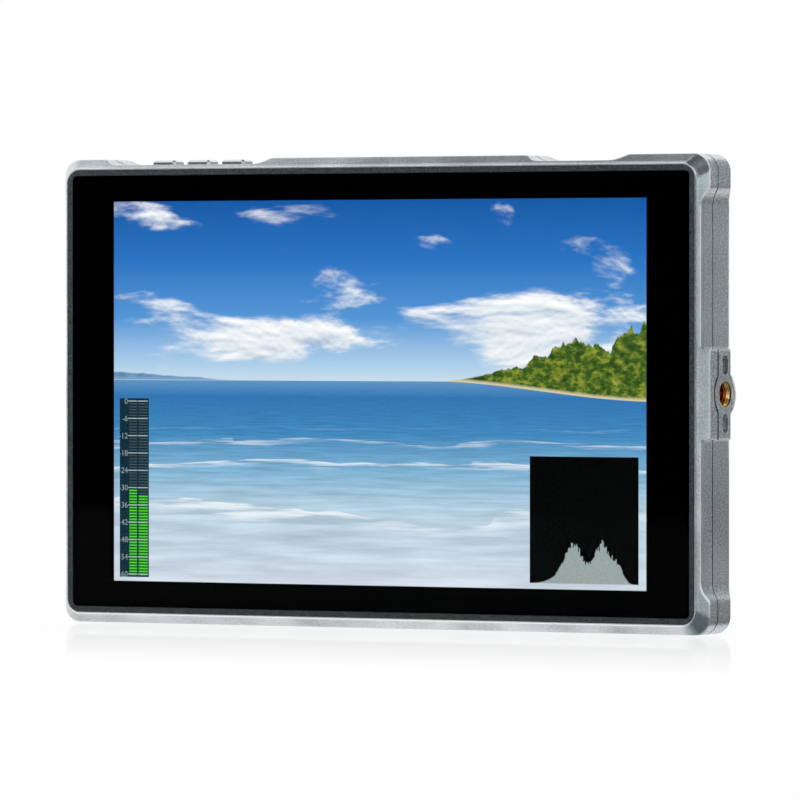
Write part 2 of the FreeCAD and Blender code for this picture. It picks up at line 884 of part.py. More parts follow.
def mid_plate():
    """Sheet that clamps the display module and carries the main board."""
    plate = slab(cavity_width - 2 * plate_gap_side, cavity_height - 2 * plate_gap_end, cavity_radius,
                 tray_back, plate_back)
    cuts = [
        stud(case_screw_radius + screw_clearance, x, z, tray_back, plate_back) for x, z in case_screw_places()
    ]
    cuts += [
        stud(board_screw_radius + screw_clearance, x, z, tray_back, plate_back)
        for x, z in board_screw_places()
    ]
    middle = panel_ribbon_height() - ribbon_thickness / 2
    cuts.append(block(panel_ribbon_place - panel_ribbon_width / 2 - panel_ribbon_room,
                      panel_ribbon_place + panel_ribbon_width / 2 + panel_ribbon_room, 0, plate_back,
                      middle - panel_ribbon_room, middle + panel_ribbon_room))
    cuts += [insert_block(mouth, out, along, screw_clearance) for mouth, out, along in threads.values()]
    return plate.cut(cuts)


def board_spacers():
    return [
        stud(spacer_radius, x, z, plate_back, board_front).cut(
            stud(board_screw_radius + screw_clearance, x, z, plate_back, board_front))
        for x, z in board_screw_places()
    ]


def main_board():
    board = block(board_left, board_right, board_front, board_back, board_bottom, board_top)
    cuts = [
        stud(board_screw_radius + screw_clearance, x, z, board_front, board_back)
        for x, z in board_screw_places()
    ]
    cuts += [
        stud(rear_column_radius + part_gap, x, z, board_front, board_back) for x, z in case_screw_places()
    ]
    cuts.append(block(board_left - 1, socket_face + socket_length + part_gap, board_front, board_back,
                      jack_height - jack_width / 2 - part_gap, jack_height + jack_width / 2 + part_gap))
    return board.cut(cuts)


def board_chip(size, place):
    x = board_middle + place[0]
    z = board_centre_height + place[1]
    return block(x - size[0] / 2, x + size[0] / 2, board_back, board_back + size[2],
                 z - size[1] / 2, z + size[1] / 2)


def ribbon_socket(middle, width, low):
    return block(middle - width / 2 - ribbon_socket_margin, middle + width / 2 + ribbon_socket_margin,
                 board_back, board_back + ribbon_socket_depth, low, low + ribbon_socket_height)


def panel_socket_bottom():
    return board_bottom + ribbon_socket_rise


def key_socket_bottom():
    return board_top - ribbon_socket_rise - ribbon_socket_height


def board_chips():
    chips = [board_chip(main_chip, main_chip_place), board_chip(logic_chip, logic_chip_place)]
    chips += [board_chip(memory_chip, place) for place in memory_chip_places]
    chips += [board_chip(power_coil, place) for place in power_coil_places]
    chips.append(ribbon_socket(panel_ribbon_place, panel_ribbon_width, panel_socket_bottom()))
    chips.append(ribbon_socket(key_middle, key_ribbon_width, key_socket_bottom()))
    return chips


def thermal_pad():
    x, z = main_chip_centre()
    half_x = main_chip[0] / 2 - pad_inset
    half_z = main_chip[1] / 2 - pad_inset
    front = board_back + main_chip[2]
    return block(x - half_x, x + half_x, front, front + pad_thickness, z - half_z, z + half_z)


def screws(places, radius, tip, head_front, head_radius, head_back):
    """Screws that point to the front: a shank and a head each."""
    return [
        joined([stud(radius, x, z, tip, head_front), stud(head_radius, x, z, head_front, head_back)])
        for x, z in places
    ]


def key_board_screws():
    return [
        joined([
            stud(key_screw_radius, x, z, key_board_front, key_board_back + key_screw_reach),
            stud(key_screw_head_radius, x, z, key_board_front - key_screw_head_height, key_board_front),
        ])
        for x, z in key_board_screw_places()
    ]


def panel_ribbon():
    """Cable from the display module, through the middle plate and up to its socket on the main board."""
    height = panel_ribbon_height()
    rear = board_back + ribbon_socket_depth / 2
    points = [(tray_back, height), (rear, height), (rear, panel_socket_bottom())]
    return ribbon(points, panel_ribbon_width, panel_ribbon_place)


def key_ribbon():
    """Cable from the key board down to its socket on the main board."""
    rear = board_back + ribbon_socket_depth / 2
    socket_top = key_socket_bottom() + ribbon_socket_height
    points = [
        (rear, socket_top),
        (rear, socket_top + ribbon_thickness),
        (key_board_front - ribbon_thickness, key_board_bottom + ribbon_thickness),
        (key_board_front - ribbon_thickness, key_board_bottom + key_ribbon_lap),
    ]
    return ribbon(points[::-1], key_ribbon_width, key_middle)


def key_board():
    board = block(key_middle - key_board_half, key_middle + key_board_half, key_board_front, key_board_back,
                  key_board_bottom, key_board_top)
    holes = [
        stud(key_screw_radius + screw_clearance, x, z, key_board_front, key_board_back)
        for x, z in key_board_screw_places()
    ]
    return board.cut(holes)


def stem_bar(x, half, low, high):
    return block(x - half, x + half, key_depth - half, key_depth + half, low, high)


def key_switch(x):
    """Sideways push switch on the key board, open on top for its stem."""
    base = block(x - switch_width / 2, x + switch_width / 2, switch_front, key_board_front,
                 switch_bottom, switch_top)
    return base.cut(stem_bar(x, stem_width / 2 + stem_gap, switch_hole_bottom, switch_top))


def key_cap(x):
    """Bevelled key with a hidden flange that keeps it in its hole."""
    top = body_height - recess_drop + key_rise
    half_width = key_width / 2 + key_flange
    half_length = key_length / 2 + key_flange
    key = key_prism(x, 0, flange_bottom, top)
    rim = [edge for edge in key.Edges if edge.BoundBox.ZMin > top - key_bevel]
    key = key.makeChamfer(key_bevel, rim)
    flange = block(x - half_width, x + half_width, key_depth - half_length, key_depth + half_length,
                   flange_bottom, flange_top)
    return joined([key, flange])


def key_stem(x):
    return stem_bar(x, stem_width / 2, stem_bottom, flange_bottom)


def blade_slot():
    """Slot in the back wall for the battery contacts, with room round them."""
    reach = blade_places()[-1] + blade_thickness / 2 + blade_slot_margin
    return block(-reach, reach, cavity_back - 1, body_depth + 1,
                 mount_bottom + stop_thickness - blade_root - blade_thickness - blade_slot_margin / 2,
                 mount_bottom + stop_thickness - blade_root + blade_slot_margin / 2)


def contact_blade(x, grow):
    """Angled contact: a tail that reaches the main board and a blade that points up from the stop."""
    half = blade_thickness / 2 + grow
    root_top = mount_bottom + stop_thickness - blade_root
    middle = mount_face + rail_rise / 2
    tail = block(x - half, x + half, board_back, middle + blade_depth / 2 + grow,
                 root_top - blade_thickness - grow, root_top + grow)
    blade = block(x - half, x + half, middle - blade_depth / 2 - grow, middle + blade_depth / 2 + grow,
                  root_top - blade_thickness - grow, mount_bottom + stop_thickness + blade_reach + grow)
    return joined([tail, blade])


def latch_well(width, height, front, rear):
    return block(-width / 2, width / 2, front, rear, latch_middle - height / 2, latch_middle + height / 2)


def battery_plate():
    """Slide-on plate: a base with two rails, inward tabs, a stop wall and the well of the catch."""
    x = mount_width / 2
    base = slab(mount_width, mount_height, mount_radius, body_depth, rail_back)
    bed = block(-x + rail_width, x - rail_width, mount_face, rail_back + 1,
                mount_bottom + stop_thickness, mount_top + 1)
    pieces = [base.cut(bed)]
    for side in (-1, 1):
        edge = side * (x - rail_width / 2)
        tip = side * (x - rail_width - tab_reach)
        for height in tab_heights:
            pieces.append(block(min(edge, tip), max(edge, tip), rail_back - tab_thickness, rail_back,
                                mid_height + height - tab_length / 2, mid_height + height + tab_length / 2))
    plate = joined(pieces)
    flange = 2 * (latch_flange + latch_gap)
    cuts = [
        latch_well(latch_width + flange, latch_height + flange, body_depth, latch_ceiling),
        latch_well(latch_width + 2 * latch_gap, latch_height + 2 * latch_gap, body_depth, rail_back),
    ]
    cuts += [contact_blade(place, blade_gap) for place in blade_places()]
    for screw_x, screw_z in mount_screw_places():
        cuts.append(stud(mount_screw_radius + screw_clearance, screw_x, screw_z, body_depth, mount_face))
        cuts.append(stud(mount_screw_head_radius + screw_clearance, screw_x, screw_z,
                         mount_face - mount_screw_head_height, mount_face))
    return plate.cut(cuts)


def battery_latch():
    """Catch that is pressed in to free the battery, with a slope that the battery rides over."""
    flange_rear = latch_ceiling - latch_rest_gap
    flange_front = flange_rear - latch_flange_thickness
    button = latch_well(latch_width, latch_height, flange_front, mount_face + latch_rise)
    slope = [edge for edge in button.Edges
             if edge.BoundBox.YMin > mount_face and edge.BoundBox.ZMin > latch_top - latch_slope]
    button = button.makeChamfer(latch_slope, slope)
    flange = latch_well(latch_width + 2 * latch_flange, latch_height + 2 * latch_flange,
                        flange_front, flange_rear)
    return joined([button, flange])


def latch_spring():
    """Bowed leaf spring between the back wall and the catch."""
    half = latch_width / 2
    crown = latch_ceiling - latch_rest_gap - latch_flange_thickness - latch_rest_gap
    low = body_depth
    z = latch_middle - spring_width / 2
    outer = Part.Arc(Vector(-half, low + spring_thickness, z), Vector(0, crown, z),
                     Vector(half, low + spring_thickness, z)).toShape()
    inner = Part.Arc(Vector(-half, low, z), Vector(0, crown - spring_thickness, z),
                     Vector(half, low, z)).toShape()
    ends = [
        Part.LineSegment(a.Point, b.Point).toShape()
        for a, b in ((outer.lastVertex(), inner.lastVertex()), (inner.firstVertex(), outer.firstVertex()))
    ]
    wire = Part.Wire(Part.__sortEdges__([outer, inner] + ends))
    return Part.Face(wire).extrude(up * spring_width)


def main():
    os.makedirs("parts", exist_ok=True)
    body = outer_body()
    shell = casing_shell(body)
    save("front_shell", [front_shell(shell, seam_groove(body))])
    save("rear_shell", [rear_shell(shell)])
    save("bezel_frame", [bezel_frame()])
    save("cover_glass", [cover_glass()])
    save("mask_film", [mask_film()])
    save("glass_tape", [glass_tape()])
    save("lcd_panel", [lcd_panel()])
    save("panel_frame", [panel_frame()])
    save("diffuser_stack", [light_sheet(diffuser_front, guide_front, 0)])
    save("light_guide", [light_sheet(guide_front, reflector_front, guide_bar_room)])
    save("reflector_sheet", [light_sheet(reflector_front, tray_inside, 0)])
    save("led_bar", [led_bar()])
    save("backlight_tray", [backlight_tray()])
    save("mid_plate", [mid_plate()])
    save("board_spacers", board_spacers())
    save("main_board", [main_board()])
    save("board_chips", board_chips())
    save("thermal_pad", [thermal_pad()])
    save("board_screws", screws(board_screw_places(), board_screw_radius, plate_back - board_screw_reach,
                                board_back, board_screw_head_radius, board_back + board_screw_head_height))
    save("panel_ribbon", [panel_ribbon()])
    save("key_board", [key_board()])
    save("key_board_screws", key_board_screws())
    save("key_switches", [key_switch(x) for x in key_places()])
    save("key_ribbon", [key_ribbon()])
    save("hdmi_in_socket", [hdmi_socket(hdmi_in_height)])
    save("hdmi_out_socket", [hdmi_socket(hdmi_out_height)])
    save("usb_socket", [usb_socket()])
    save("headphone_jack", [headphone_jack()])
    save("dc_jack", [dc_jack()])
    for side, (mouth, out, along) in threads.items():
        save(side + "_thread_insert", [thread_insert(mouth, out)])
    head_back = body_depth - case_head_sink
    save("case_screws", screws(case_screw_places(), case_screw_radius, tray_back - case_screw_bite,
                               head_back - case_head_height, case_head_radius, head_back))
    save("battery_plate", [battery_plate()])
    save("battery_contacts", [contact_blade(x, 0) for x in blade_places()])
    save("plate_screws", screws(mount_screw_places(), mount_screw_radius, cavity_back - mount_screw_reach,
                                mount_face - mount_screw_head_height, mount_screw_head_radius, mount_face))
    save("battery_latch", [battery_latch()])
    save("latch_spring", [latch_spring()])
    for index, x in enumerate(key_places(), start=1):
        save("key_cap_" + str(index), [key_cap(x)])
        save("key_stem_" + str(index), [key_stem(x)])


main()
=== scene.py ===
# %% [markdown]
# # A camera field monitor
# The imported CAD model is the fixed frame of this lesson: every piece in it already has its true place
# and size, in metres. Here it gets its finishes, a lit picture behind the glass, and the small forms
# that are too fine for the solids, such as threads, screw drives and the marks of the level meter.

# %% Load the frame
import json
import math
import random

import bmesh
import bpy
from mathutils import Matrix, Vector


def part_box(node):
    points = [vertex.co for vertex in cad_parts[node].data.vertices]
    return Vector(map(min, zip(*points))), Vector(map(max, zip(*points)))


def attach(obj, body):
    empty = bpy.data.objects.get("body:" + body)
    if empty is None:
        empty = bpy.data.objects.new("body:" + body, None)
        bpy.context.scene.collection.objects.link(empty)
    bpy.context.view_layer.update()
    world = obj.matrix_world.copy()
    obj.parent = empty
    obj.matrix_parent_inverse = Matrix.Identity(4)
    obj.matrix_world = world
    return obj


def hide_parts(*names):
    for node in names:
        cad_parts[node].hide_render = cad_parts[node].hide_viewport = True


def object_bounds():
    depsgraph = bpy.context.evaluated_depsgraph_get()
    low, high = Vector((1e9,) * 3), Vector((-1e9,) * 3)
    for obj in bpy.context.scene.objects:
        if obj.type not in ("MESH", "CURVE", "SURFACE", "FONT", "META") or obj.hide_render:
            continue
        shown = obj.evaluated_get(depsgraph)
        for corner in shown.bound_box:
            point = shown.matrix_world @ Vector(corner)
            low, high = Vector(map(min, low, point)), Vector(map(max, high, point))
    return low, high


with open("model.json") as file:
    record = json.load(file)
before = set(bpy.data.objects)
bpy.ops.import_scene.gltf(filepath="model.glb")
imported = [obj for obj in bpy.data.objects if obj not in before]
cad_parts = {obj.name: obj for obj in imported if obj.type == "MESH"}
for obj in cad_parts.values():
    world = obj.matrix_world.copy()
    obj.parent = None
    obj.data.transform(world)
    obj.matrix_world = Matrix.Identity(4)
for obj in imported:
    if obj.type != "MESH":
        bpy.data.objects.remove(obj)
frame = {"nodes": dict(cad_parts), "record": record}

cad_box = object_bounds()
mm = 0.001
nodes = frame["nodes"]
print("nodes:", len(nodes), "box:", [round(v / mm, 2) for corner in cad_box for v in corner])

# %% [markdown]
# ## The camera
# The photograph was taken from the front right, a hand above the table and with a long lens, so the
# upright edges stay parallel. A long lens two metres away gives the same drawing. The aim is a point
# near the middle of the screen.

# %% Camera
camera_place = Vector((1.0081, -1.7303, 0.0783))
camera_aim = Vector((0.0073, -0.0108, 0.0559))
camera_data = bpy.data.cameras.new("studio_camera")
camera_data.lens = 367.5
camera_data.sensor_width = 36.0
camera_data.clip_end = 50.0
camera = bpy.data.objects.new("studio_camera", camera_data)
camera.location = camera_place
camera.rotation_euler = (camera_aim - camera_place).to_track_quat("-Z", "Y").to_euler()
bpy.context.collection.objects.link(camera)
bpy.context.scene.camera = camera
bpy.context.scene.view_settings.view_transform = "Standard"
print("camera distance:", round((camera_aim - camera_place).length, 3), "m")

# %% [markdown]
# ## Tools for the finishes
# Colours are written as sRGB hex values, the way a colour picker shows them. Shaders work in linear
# light, so one function turns the first into the second. A second function adds a node, sets it up and
# links it, with the help of one that feeds a node's sockets. Two more start a material, with an empty node
# tree or with one surface shader.

# %% Colour, node and material helpers
def paint(code):
    """Linear colour from an sRGB hex value."""
    parts = [int(code[i:i + 2], 16) / 255 for i in (1, 3, 5)]
    light = [p / 12.92 if p <= 0.04045 else ((p + 0.055) / 1.055) ** 2.4 for p in parts]
    return (*light, 1.0)


def feed(tree, node, feeds):
    """Feed a node's sockets: with values, sockets, or nodes, which then give their first output."""
    for key, value in feeds.items():
        if isinstance(value, bpy.types.Node):
            value = value.outputs[0]
        if isinstance(value, bpy.types.NodeSocket):
            tree.links.new(value, node.inputs[key])
        else:
            node.inputs[key].default_value = value


def add(tree, kind, feeds=None, stops=(), **settings):
    """Add a node: settings are its own values, feeds go to its sockets, stops are a ramp's colours."""
    made = tree.nodes.new(kind)
    for name, value in settings.items():
        setattr(made, name, value)
    feed(tree, made, feeds or {})
    for index, (position, code) in enumerate(stops):
        ramp = made.color_ramp.elements
        stop = ramp[index] if index < 1 else ramp.new(position) if index < len(stops) - 1 else ramp[-1]
        stop.position = position
        stop.color = paint(code)
    return made


def bare_material(name):
    """A new material and its empty node tree."""
    made = bpy.data.materials.new(name)
    made.use_nodes = True
    made.node_tree.nodes.clear()
    return made, made.node_tree


def blank_finish(name):
    """A new material with one surface shader, its node tree, that shader and the place on the piece."""
    made, tree = bare_material(name)
    shader = add(tree, "ShaderNodeBsdfPrincipled")
    add(tree, "ShaderNodeOutputMaterial", {"Surface": shader})
    return made, tree, shader, add(tree, "ShaderNodeTexCoord").outputs["Object"]


print("white is", paint("#ffffff")[:3])

# %% [markdown]
# ## Bead-blasted, anodised aluminium
# Both halves of the casing are blasted with fine glass beads and then anodised a pale cool grey. The
# eye gets a metal that mirrors only broad light and dark, with a fine sparkle of grain. Bump alone could
# make the grain, but blasted metal also varies in tone and gloss, so one noise drives all three.

# %% Blasted grain
blast_grain = 0.33 * mm      # the real grit is nearer 0.1 mm; drawn coarser so that it shows
grain_along = 0.5            # and longer from front to back, so that it shows on the narrow sides too
side_calm = 0.2              # how much of the grain gives way to soft clouds on the sides
chamfer_calm = 0.58          # and on the chamfers, which are blasted more finely
anodise_cloud = 14.0 * mm
blast_tones = [(0.32, "#aaaeb1"), (0.68, "#e9eef1")]


def blasted_grain(tree, place, on_side):
    """The grain that the beads leave, and the tone that follows it."""
    drawn = add(tree, "ShaderNodeMapping", {"Vector": place, "Scale": (1, grain_along, 1)})
    grain = add(tree, "ShaderNodeTexNoise",
                {"Vector": drawn, "Scale": 1 / blast_grain, "Detail": 1.0, "Roughness": 0.6})
    cloud = add(tree, "ShaderNodeTexNoise", {"Vector": place, "Scale": 1 / anodise_cloud, "Detail": 1.0})
    calm = add(tree, "ShaderNodeMapRange", {"Value": on_side, "To Min": chamfer_calm, "To Max": side_calm})
    blend = add(tree, "ShaderNodeMix", {0: calm, 2: grain, 3: cloud})
    tone = add(tree, "ShaderNodeValToRGB", {"Fac": blend}, stops=blast_tones)
    return grain, tone


print("blast grain:", round(blast_grain / mm, 2), "mm")

# %% [markdown]
# ### Rounded edges and painted highlights
# The Bevel node bends the shading normal near an edge. Where it departs from the true normal there is an
# edge, so the same node also says where the bright lines go: there a painted highlight lightens the metal's
# colour, and the lip's faces that point down get the same painted highlight. The long edges of the chamfers
# and the ends of the thread's boss are rounded most. The lip round the rim and the seam stay crisp, so the
# rounding follows the place.

# %% Rounded edges and painted highlights
crisp_edge = 0.1 * mm
wide_edge_radius = 1.1 * mm
edge_starts, edge_full = 0.995, 0.97     # cosines between the bent and the true normal
lip_depth = -10.45 * mm
lip_facet = -10.63 * mm
chamfer_depth = -7.9 * mm
band_middle = -1.0 * mm      # the band round the sides that holds the seam, the thread and its slots
band_half = 4.6 * mm
boss_half = 10.85 * mm
boss_end = 0.6 * mm
leaning = 0.3                # how far a normal points down or forward to count as doing so


def rubbed_edges(tree, apart, reach, on_side, true, faces):
    """The normal that is bent near the edges, and a mask of where the painted highlight goes."""
    depth = apart.outputs["Y"]
    behind_lip = add(tree, "ShaderNodeMath", {0: depth, 1: lip_depth}, operation="GREATER_THAN")
    in_band = add(tree, "ShaderNodeMath", {0: depth, 1: band_middle, 2: band_half}, operation="COMPARE")
    at_end = add(tree, "ShaderNodeMath", {0: reach, 1: boss_half, 2: boss_end}, operation="COMPARE")
    swapped = add(tree, "ShaderNodeMath", {0: in_band, 1: at_end}, operation="SUBTRACT")
    kept = add(tree, "ShaderNodeMath", {0: at_end, 1: on_side}, operation="GREATER_THAN")
    crisp = add(tree, "ShaderNodeMath", {0: swapped, 1: kept}, operation="MAXIMUM")
    rounded_wide = add(tree, "ShaderNodeMath", {0: behind_lip, 1: crisp}, operation="SUBTRACT")
    radius = add(tree, "ShaderNodeMapRange", {"Value": rounded_wide, "To Min": crisp_edge, "To Max": wide_edge_radius})
    bevel = add(tree, "ShaderNodeBevel", {"Radius": radius}, samples=8)
    lean = add(tree, "ShaderNodeVectorMath", {0: bevel, 1: true.outputs["Normal"]}, operation="DOT_PRODUCT")
    edge = add(tree, "ShaderNodeMapRange",
               {"Value": lean.outputs["Value"], "From Min": edge_starts, "From Max": edge_full})
    # the lip's faces that point down get the painted highlight as well
    low_side = add(tree, "ShaderNodeMath", {0: faces.outputs["Z"], 1: -leaning}, operation="LESS_THAN")
    on_lip = add(tree, "ShaderNodeMath", {0: depth, 1: lip_facet}, operation="LESS_THAN")
    low_lip = add(tree, "ShaderNodeMath", {0: low_side, 1: on_lip}, operation="MULTIPLY")
    painted_highlight = add(tree, "ShaderNodeMath", {0: edge, 1: low_lip}, operation="MAXIMUM")
    return bevel, painted_highlight


print("edges are rounded by", round(crisp_edge / mm, 2), "to", round(wide_edge_radius / mm, 2), "mm")

# %% [markdown]
# ### Painted shade in slots and seams
# Painted shade darkens the metal in the slots, which an Ambient Occlusion node finds. It is too coarse for
# the seam between the halves. So the faces that look into the seam, the seam on the thread's boss and the
# line round the thread's pad are found by their place, and painted shade darkens them too.

# %% Painted shade
shade_reach = 1.2 * mm
shade_starts, shade_full = 0.58, 0.32    # shares of open air
seam_middle = -3.7 * mm
seam_half = 0.21 * mm
boss_line = 0.3 * mm
pad_radius = 5.4 * mm
pad_line = 0.36 * mm
thread_low, thread_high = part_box("right_thread_insert")
thread_middle = (thread_low + thread_high) / 2


def in_the_light(tree, place, apart, reach, faces):
    """1 in the open, 0 where shade is painted: in the slots, in the seam and in the line round the thread's
    pad.
    """
    depth = apart.outputs["Y"]
    open_air = add(tree, "ShaderNodeAmbientOcclusion", {"Distance": shade_reach}, samples=8)
    shade = add(tree, "ShaderNodeMapRange",
                {"Value": open_air.outputs["AO"], "From Min": shade_full, "From Max": shade_starts})
    frontal = add(tree, "ShaderNodeMath", {0: faces.outputs["Y"], 1: -leaning}, operation="LESS_THAN")
    in_seam = add(tree, "ShaderNodeMath", {0: depth, 1: seam_middle, 2: seam_half}, operation="COMPARE")
    into = add(tree, "ShaderNodeMath", {0: frontal, 1: in_seam}, operation="MULTIPLY")
    flat = add(tree, "ShaderNodeVectorMath", {0: place, 1: (0, 1, 1)}, operation="MULTIPLY")
    from_axis = add(tree, "ShaderNodeVectorMath", {0: flat, 1: (0, thread_middle.y, thread_middle.z)},
                    operation="DISTANCE").outputs["Value"]
    in_arc = add(tree, "ShaderNodeMath", {0: from_axis, 1: pad_radius + seam_half, 2: pad_line},
                 operation="COMPARE")
    ahead = add(tree, "ShaderNodeMath", {0: depth, 1: seam_middle}, operation="LESS_THAN")
    arc = add(tree, "ShaderNodeMath", {0: in_arc, 1: ahead}, operation="MULTIPLY")
    on_boss = add(tree, "ShaderNodeMath", {0: reach, 1: boss_half}, operation="LESS_THAN")
    off_pad = add(tree, "ShaderNodeMath", {0: from_axis, 1: pad_radius}, operation="GREATER_THAN")
    beside = add(tree, "ShaderNodeMath", {0: depth, 1: seam_middle, 2: boss_line}, operation="COMPARE")
    boss = add(tree, "ShaderNodeMath", {0: on_boss, 1: off_pad}, operation="MULTIPLY")
    split = add(tree, "ShaderNodeMath", {0: boss, 1: beside}, operation="MULTIPLY")
    round_pad = add(tree, "ShaderNodeMath", {0: arc, 1: split}, operation="MAXIMUM")
    on_right = add(tree, "ShaderNodeMath", {0: apart.outputs["X"], 1: 0.0}, operation="GREATER_THAN")
    pad_mark = add(tree, "ShaderNodeMath", {0: round_pad, 1: on_right}, operation="MULTIPLY")
    # painted shade in the seam and in the line round the thread's pad
    seam = add(tree, "ShaderNodeMath", {0: into, 1: pad_mark}, operation="MAXIMUM")
    return add(tree, "ShaderNodeMath", {0: shade, 1: seam}, operation="SUBTRACT", use_clamp=True)


print("thread's pad at", [round(v / mm, 2) for v in thread_middle])

# %% Casing metal
# the colour of the painted highlight on the edges and on the lip's lower faces
painted_highlight_tone = "#f4f7f8"
# the colour of the painted shade in the slots, the seam and round the pad
painted_shade_tone = "#262c30"
gloss_least, gloss_most = 0.19, 0.26
edge_polish = -0.06
dent_depth = 0.04 * mm


def bead_blasted_aluminium():
    made, tree, shader, place = blank_finish("bead_blasted_anodised_aluminium")
    apart = add(tree, "ShaderNodeSeparateXYZ", {"Vector": place})
    on_side = add(tree, "ShaderNodeMath", {0: apart.outputs["Y"], 1: chamfer_depth}, operation="GREATER_THAN")
    rise = add(tree, "ShaderNodeMath", {0: apart.outputs["Z"], 1: thread_middle.z}, operation="SUBTRACT")
    reach = add(tree, "ShaderNodeMath", {0: rise}, operation="ABSOLUTE")
    true = add(tree, "ShaderNodeNewGeometry")
    faces = add(tree, "ShaderNodeSeparateXYZ", {"Vector": true.outputs["True Normal"]})
    grain, tone = blasted_grain(tree, place, on_side)
    bevel, painted_highlight = rubbed_edges(tree, apart, reach, on_side, true, faces)
    light = in_the_light(tree, place, apart, reach, faces)
    # painted highlight: the edges and the lip's lower faces are lightened towards a near white
    bright = add(tree, "ShaderNodeMix", {0: painted_highlight, 6: tone, 7: paint(painted_highlight_tone)}, data_type="RGBA")
    # painted shade: the slots, the seam and the line round the pad are darkened
    tone_with_painted_light = add(tree, "ShaderNodeMix", {0: light, 6: paint(painted_shade_tone), 7: bright.outputs[2]}, data_type="RGBA")
    gloss = add(tree, "ShaderNodeMapRange",
                {"Value": grain, "From Min": 0.3, "From Max": 0.7,
                 "To Min": gloss_least, "To Max": gloss_most})
    sleek = add(tree, "ShaderNodeMath", {0: painted_highlight, 1: edge_polish, 2: gloss}, operation="MULTIPLY_ADD")
    bump = add(tree, "ShaderNodeBump",
               {"Strength": 0.1, "Distance": dent_depth, "Height": grain, "Normal": bevel})
    feed(tree, shader, {"Base Color": tone_with_painted_light.outputs[2], "Roughness": sleek, "Normal": bump, "Metallic": 1.0})
    return made


casing_metal = bead_blasted_aluminium()
print("made", casing_metal.name, "with", len(casing_metal.node_tree.nodes), "nodes")

# %% [markdown]
# ## Grained finishes
# Most other pieces are plain mouldings, sheets or turned parts. Each differs in its two tones, the size
# of its grain, its gloss and whether it is a metal, so one function makes them all from those facts.

# %% Grained finish
def grained(name, dark, light, grain, roughness, metallic=0.0, bump=0.15, stretch=(1, 1, 1), edge=0.1,
            **sockets):
    """A finish with a fine grain, in mm, between two tones.

    The stretch draws the grain out along an axis, and edge is the rounding of the edges in mm.
    """
    made, tree, shader, place = blank_finish(name)
    drawn = add(tree, "ShaderNodeMapping", {"Vector": place, "Scale": stretch})
    noise = add(tree, "ShaderNodeTexNoise",
                {"Vector": drawn, "Scale": 1 / (grain * mm), "Detail": 3.0, "Roughness": 0.6})
    tone = add(tree, "ShaderNodeValToRGB", {"Fac": noise}, stops=[(0.32, dark), (0.68, light)])
    gloss = add(tree, "ShaderNodeMapRange",
                {"Value": noise, "From Min": 0.3, "From Max": 0.7,
                 "To Min": roughness - 0.05, "To Max": roughness + 0.05})
    bevel = add(tree, "ShaderNodeBevel", {"Radius": edge * mm}, samples=6)
    dents = add(tree, "ShaderNodeBump", {"Strength": bump, "Distance": 0.1 * grain * mm,
                                         "Height": noise, "Normal": bevel})
    feed(tree, shader, {"Base Color": tone, "Roughness": gloss, "Normal": dents, "Metallic": metallic})
    feed(tree, shader, {socket.replace("_", " "): value for socket, value in sockets.items()})
    return made


finishes = {
    "casing": casing_metal,
    # Moulded in a spark-eroded tool: a dry charcoal with a fine leathery grain and little shine
    "rim": grained("spark_textured_polycarbonate", "#010303", "#434e52", 0.42, 0.55, bump=0.6,
                   Specular_IOR_Level=0.3),
    # Ink printed behind the glass: the deepest black of the part, with no grain to see
    "black_print": grained("screen_printed_black_ink", "#010101", "#020202", 0.2, 0.8, bump=0.02,
                           Specular_IOR_Level=0.0),
    # Closed-cell foam tape: soot black and dull
    "tape": grained("closed_cell_foam_tape", "#0d0d0e", "#1b1b1d", 0.5, 0.9, bump=0.4),
    # White moulding and light sheets: bright, even and slightly milky
    "white_moulding": grained("moulded_white_polycarbonate", "#dfe2e3", "#eef0f0", 0.8, 0.5),
    # Clear acrylic plate that carries the light of the lamps
    "light_guide": grained("cast_clear_acrylic", "#dfeaf0", "#ecf4f8", 2.0, 0.1, bump=0.02),
    # Pressed sheet, zinc plated: a streaky pale grey metal
    "steel_sheet": grained("zinc_plated_steel_sheet", "#a5a9ab", "#c3c6c8", 0.6, 0.35, 1.0,
                           stretch=(0.08, 1, 1)),
    # Glass fibre under a green mask: dark green with the weave just showing through
    "circuit_board": grained("masked_glass_fibre", "#14452b", "#1d5c3a", 0.7, 0.35, bump=0.2),
    # Chips moulded in black epoxy: matt, with a sandy grain
    "chips": grained("moulded_black_epoxy", "#141415", "#232324", 0.3, 0.6, bump=0.3),
    # Soft silicone pad: pale blue grey and slightly greasy
    "soft_pad": grained("filled_silicone_pad", "#8d99a8", "#a5b0bd", 1.2, 0.55, bump=0.2),
    # Flat cable of amber film over copper
    "ribbon": grained("polyimide_film_cable", "#a5601c", "#c67a2a", 1.0, 0.3, stretch=(6, 1, 0.2)),
    # Turned stainless steel: fine rings of the tool, a neutral bright grey
    "steel": grained("turned_stainless_steel", "#a9abad", "#cccecf", 0.3, 0.28, 1.0),
    # Glass-filled nylon, moulded in a textured tool: black with a dry sheen
    "black_plastic": grained("moulded_glass_filled_nylon", "#0f1011", "#1f2122", 0.45, 0.5, bump=0.4),
    # Plated contact metal: warm, bright and smooth
    "contact": grained("gold_plated_bronze", "#d9b25c", "#ecc974", 0.8, 0.22, 1.0, bump=0.05),
    # Diecast keys with a satin plating: the brightest metal on the top edge
    "silver_key": grained("satin_plated_zinc", "#dcdfe1", "#f0f2f3", 0.25, 0.22, 1.0, bump=0.08),
}
print("finishes:", len(finishes))

# %% [markdown]
# ## Coated cover glass
# The cover is a sheet of glass with a coating against reflections, bonded over black print. So it shows
# the picture clearly, and its border is black instead of mirroring the room. The refractive index is
# that of glass, which bends the view of the picture, and a dark specular tint does the coating's work.

# %% Cover glass
wipe_mark = 30 * mm
coating_tint = "#0a0a0d"


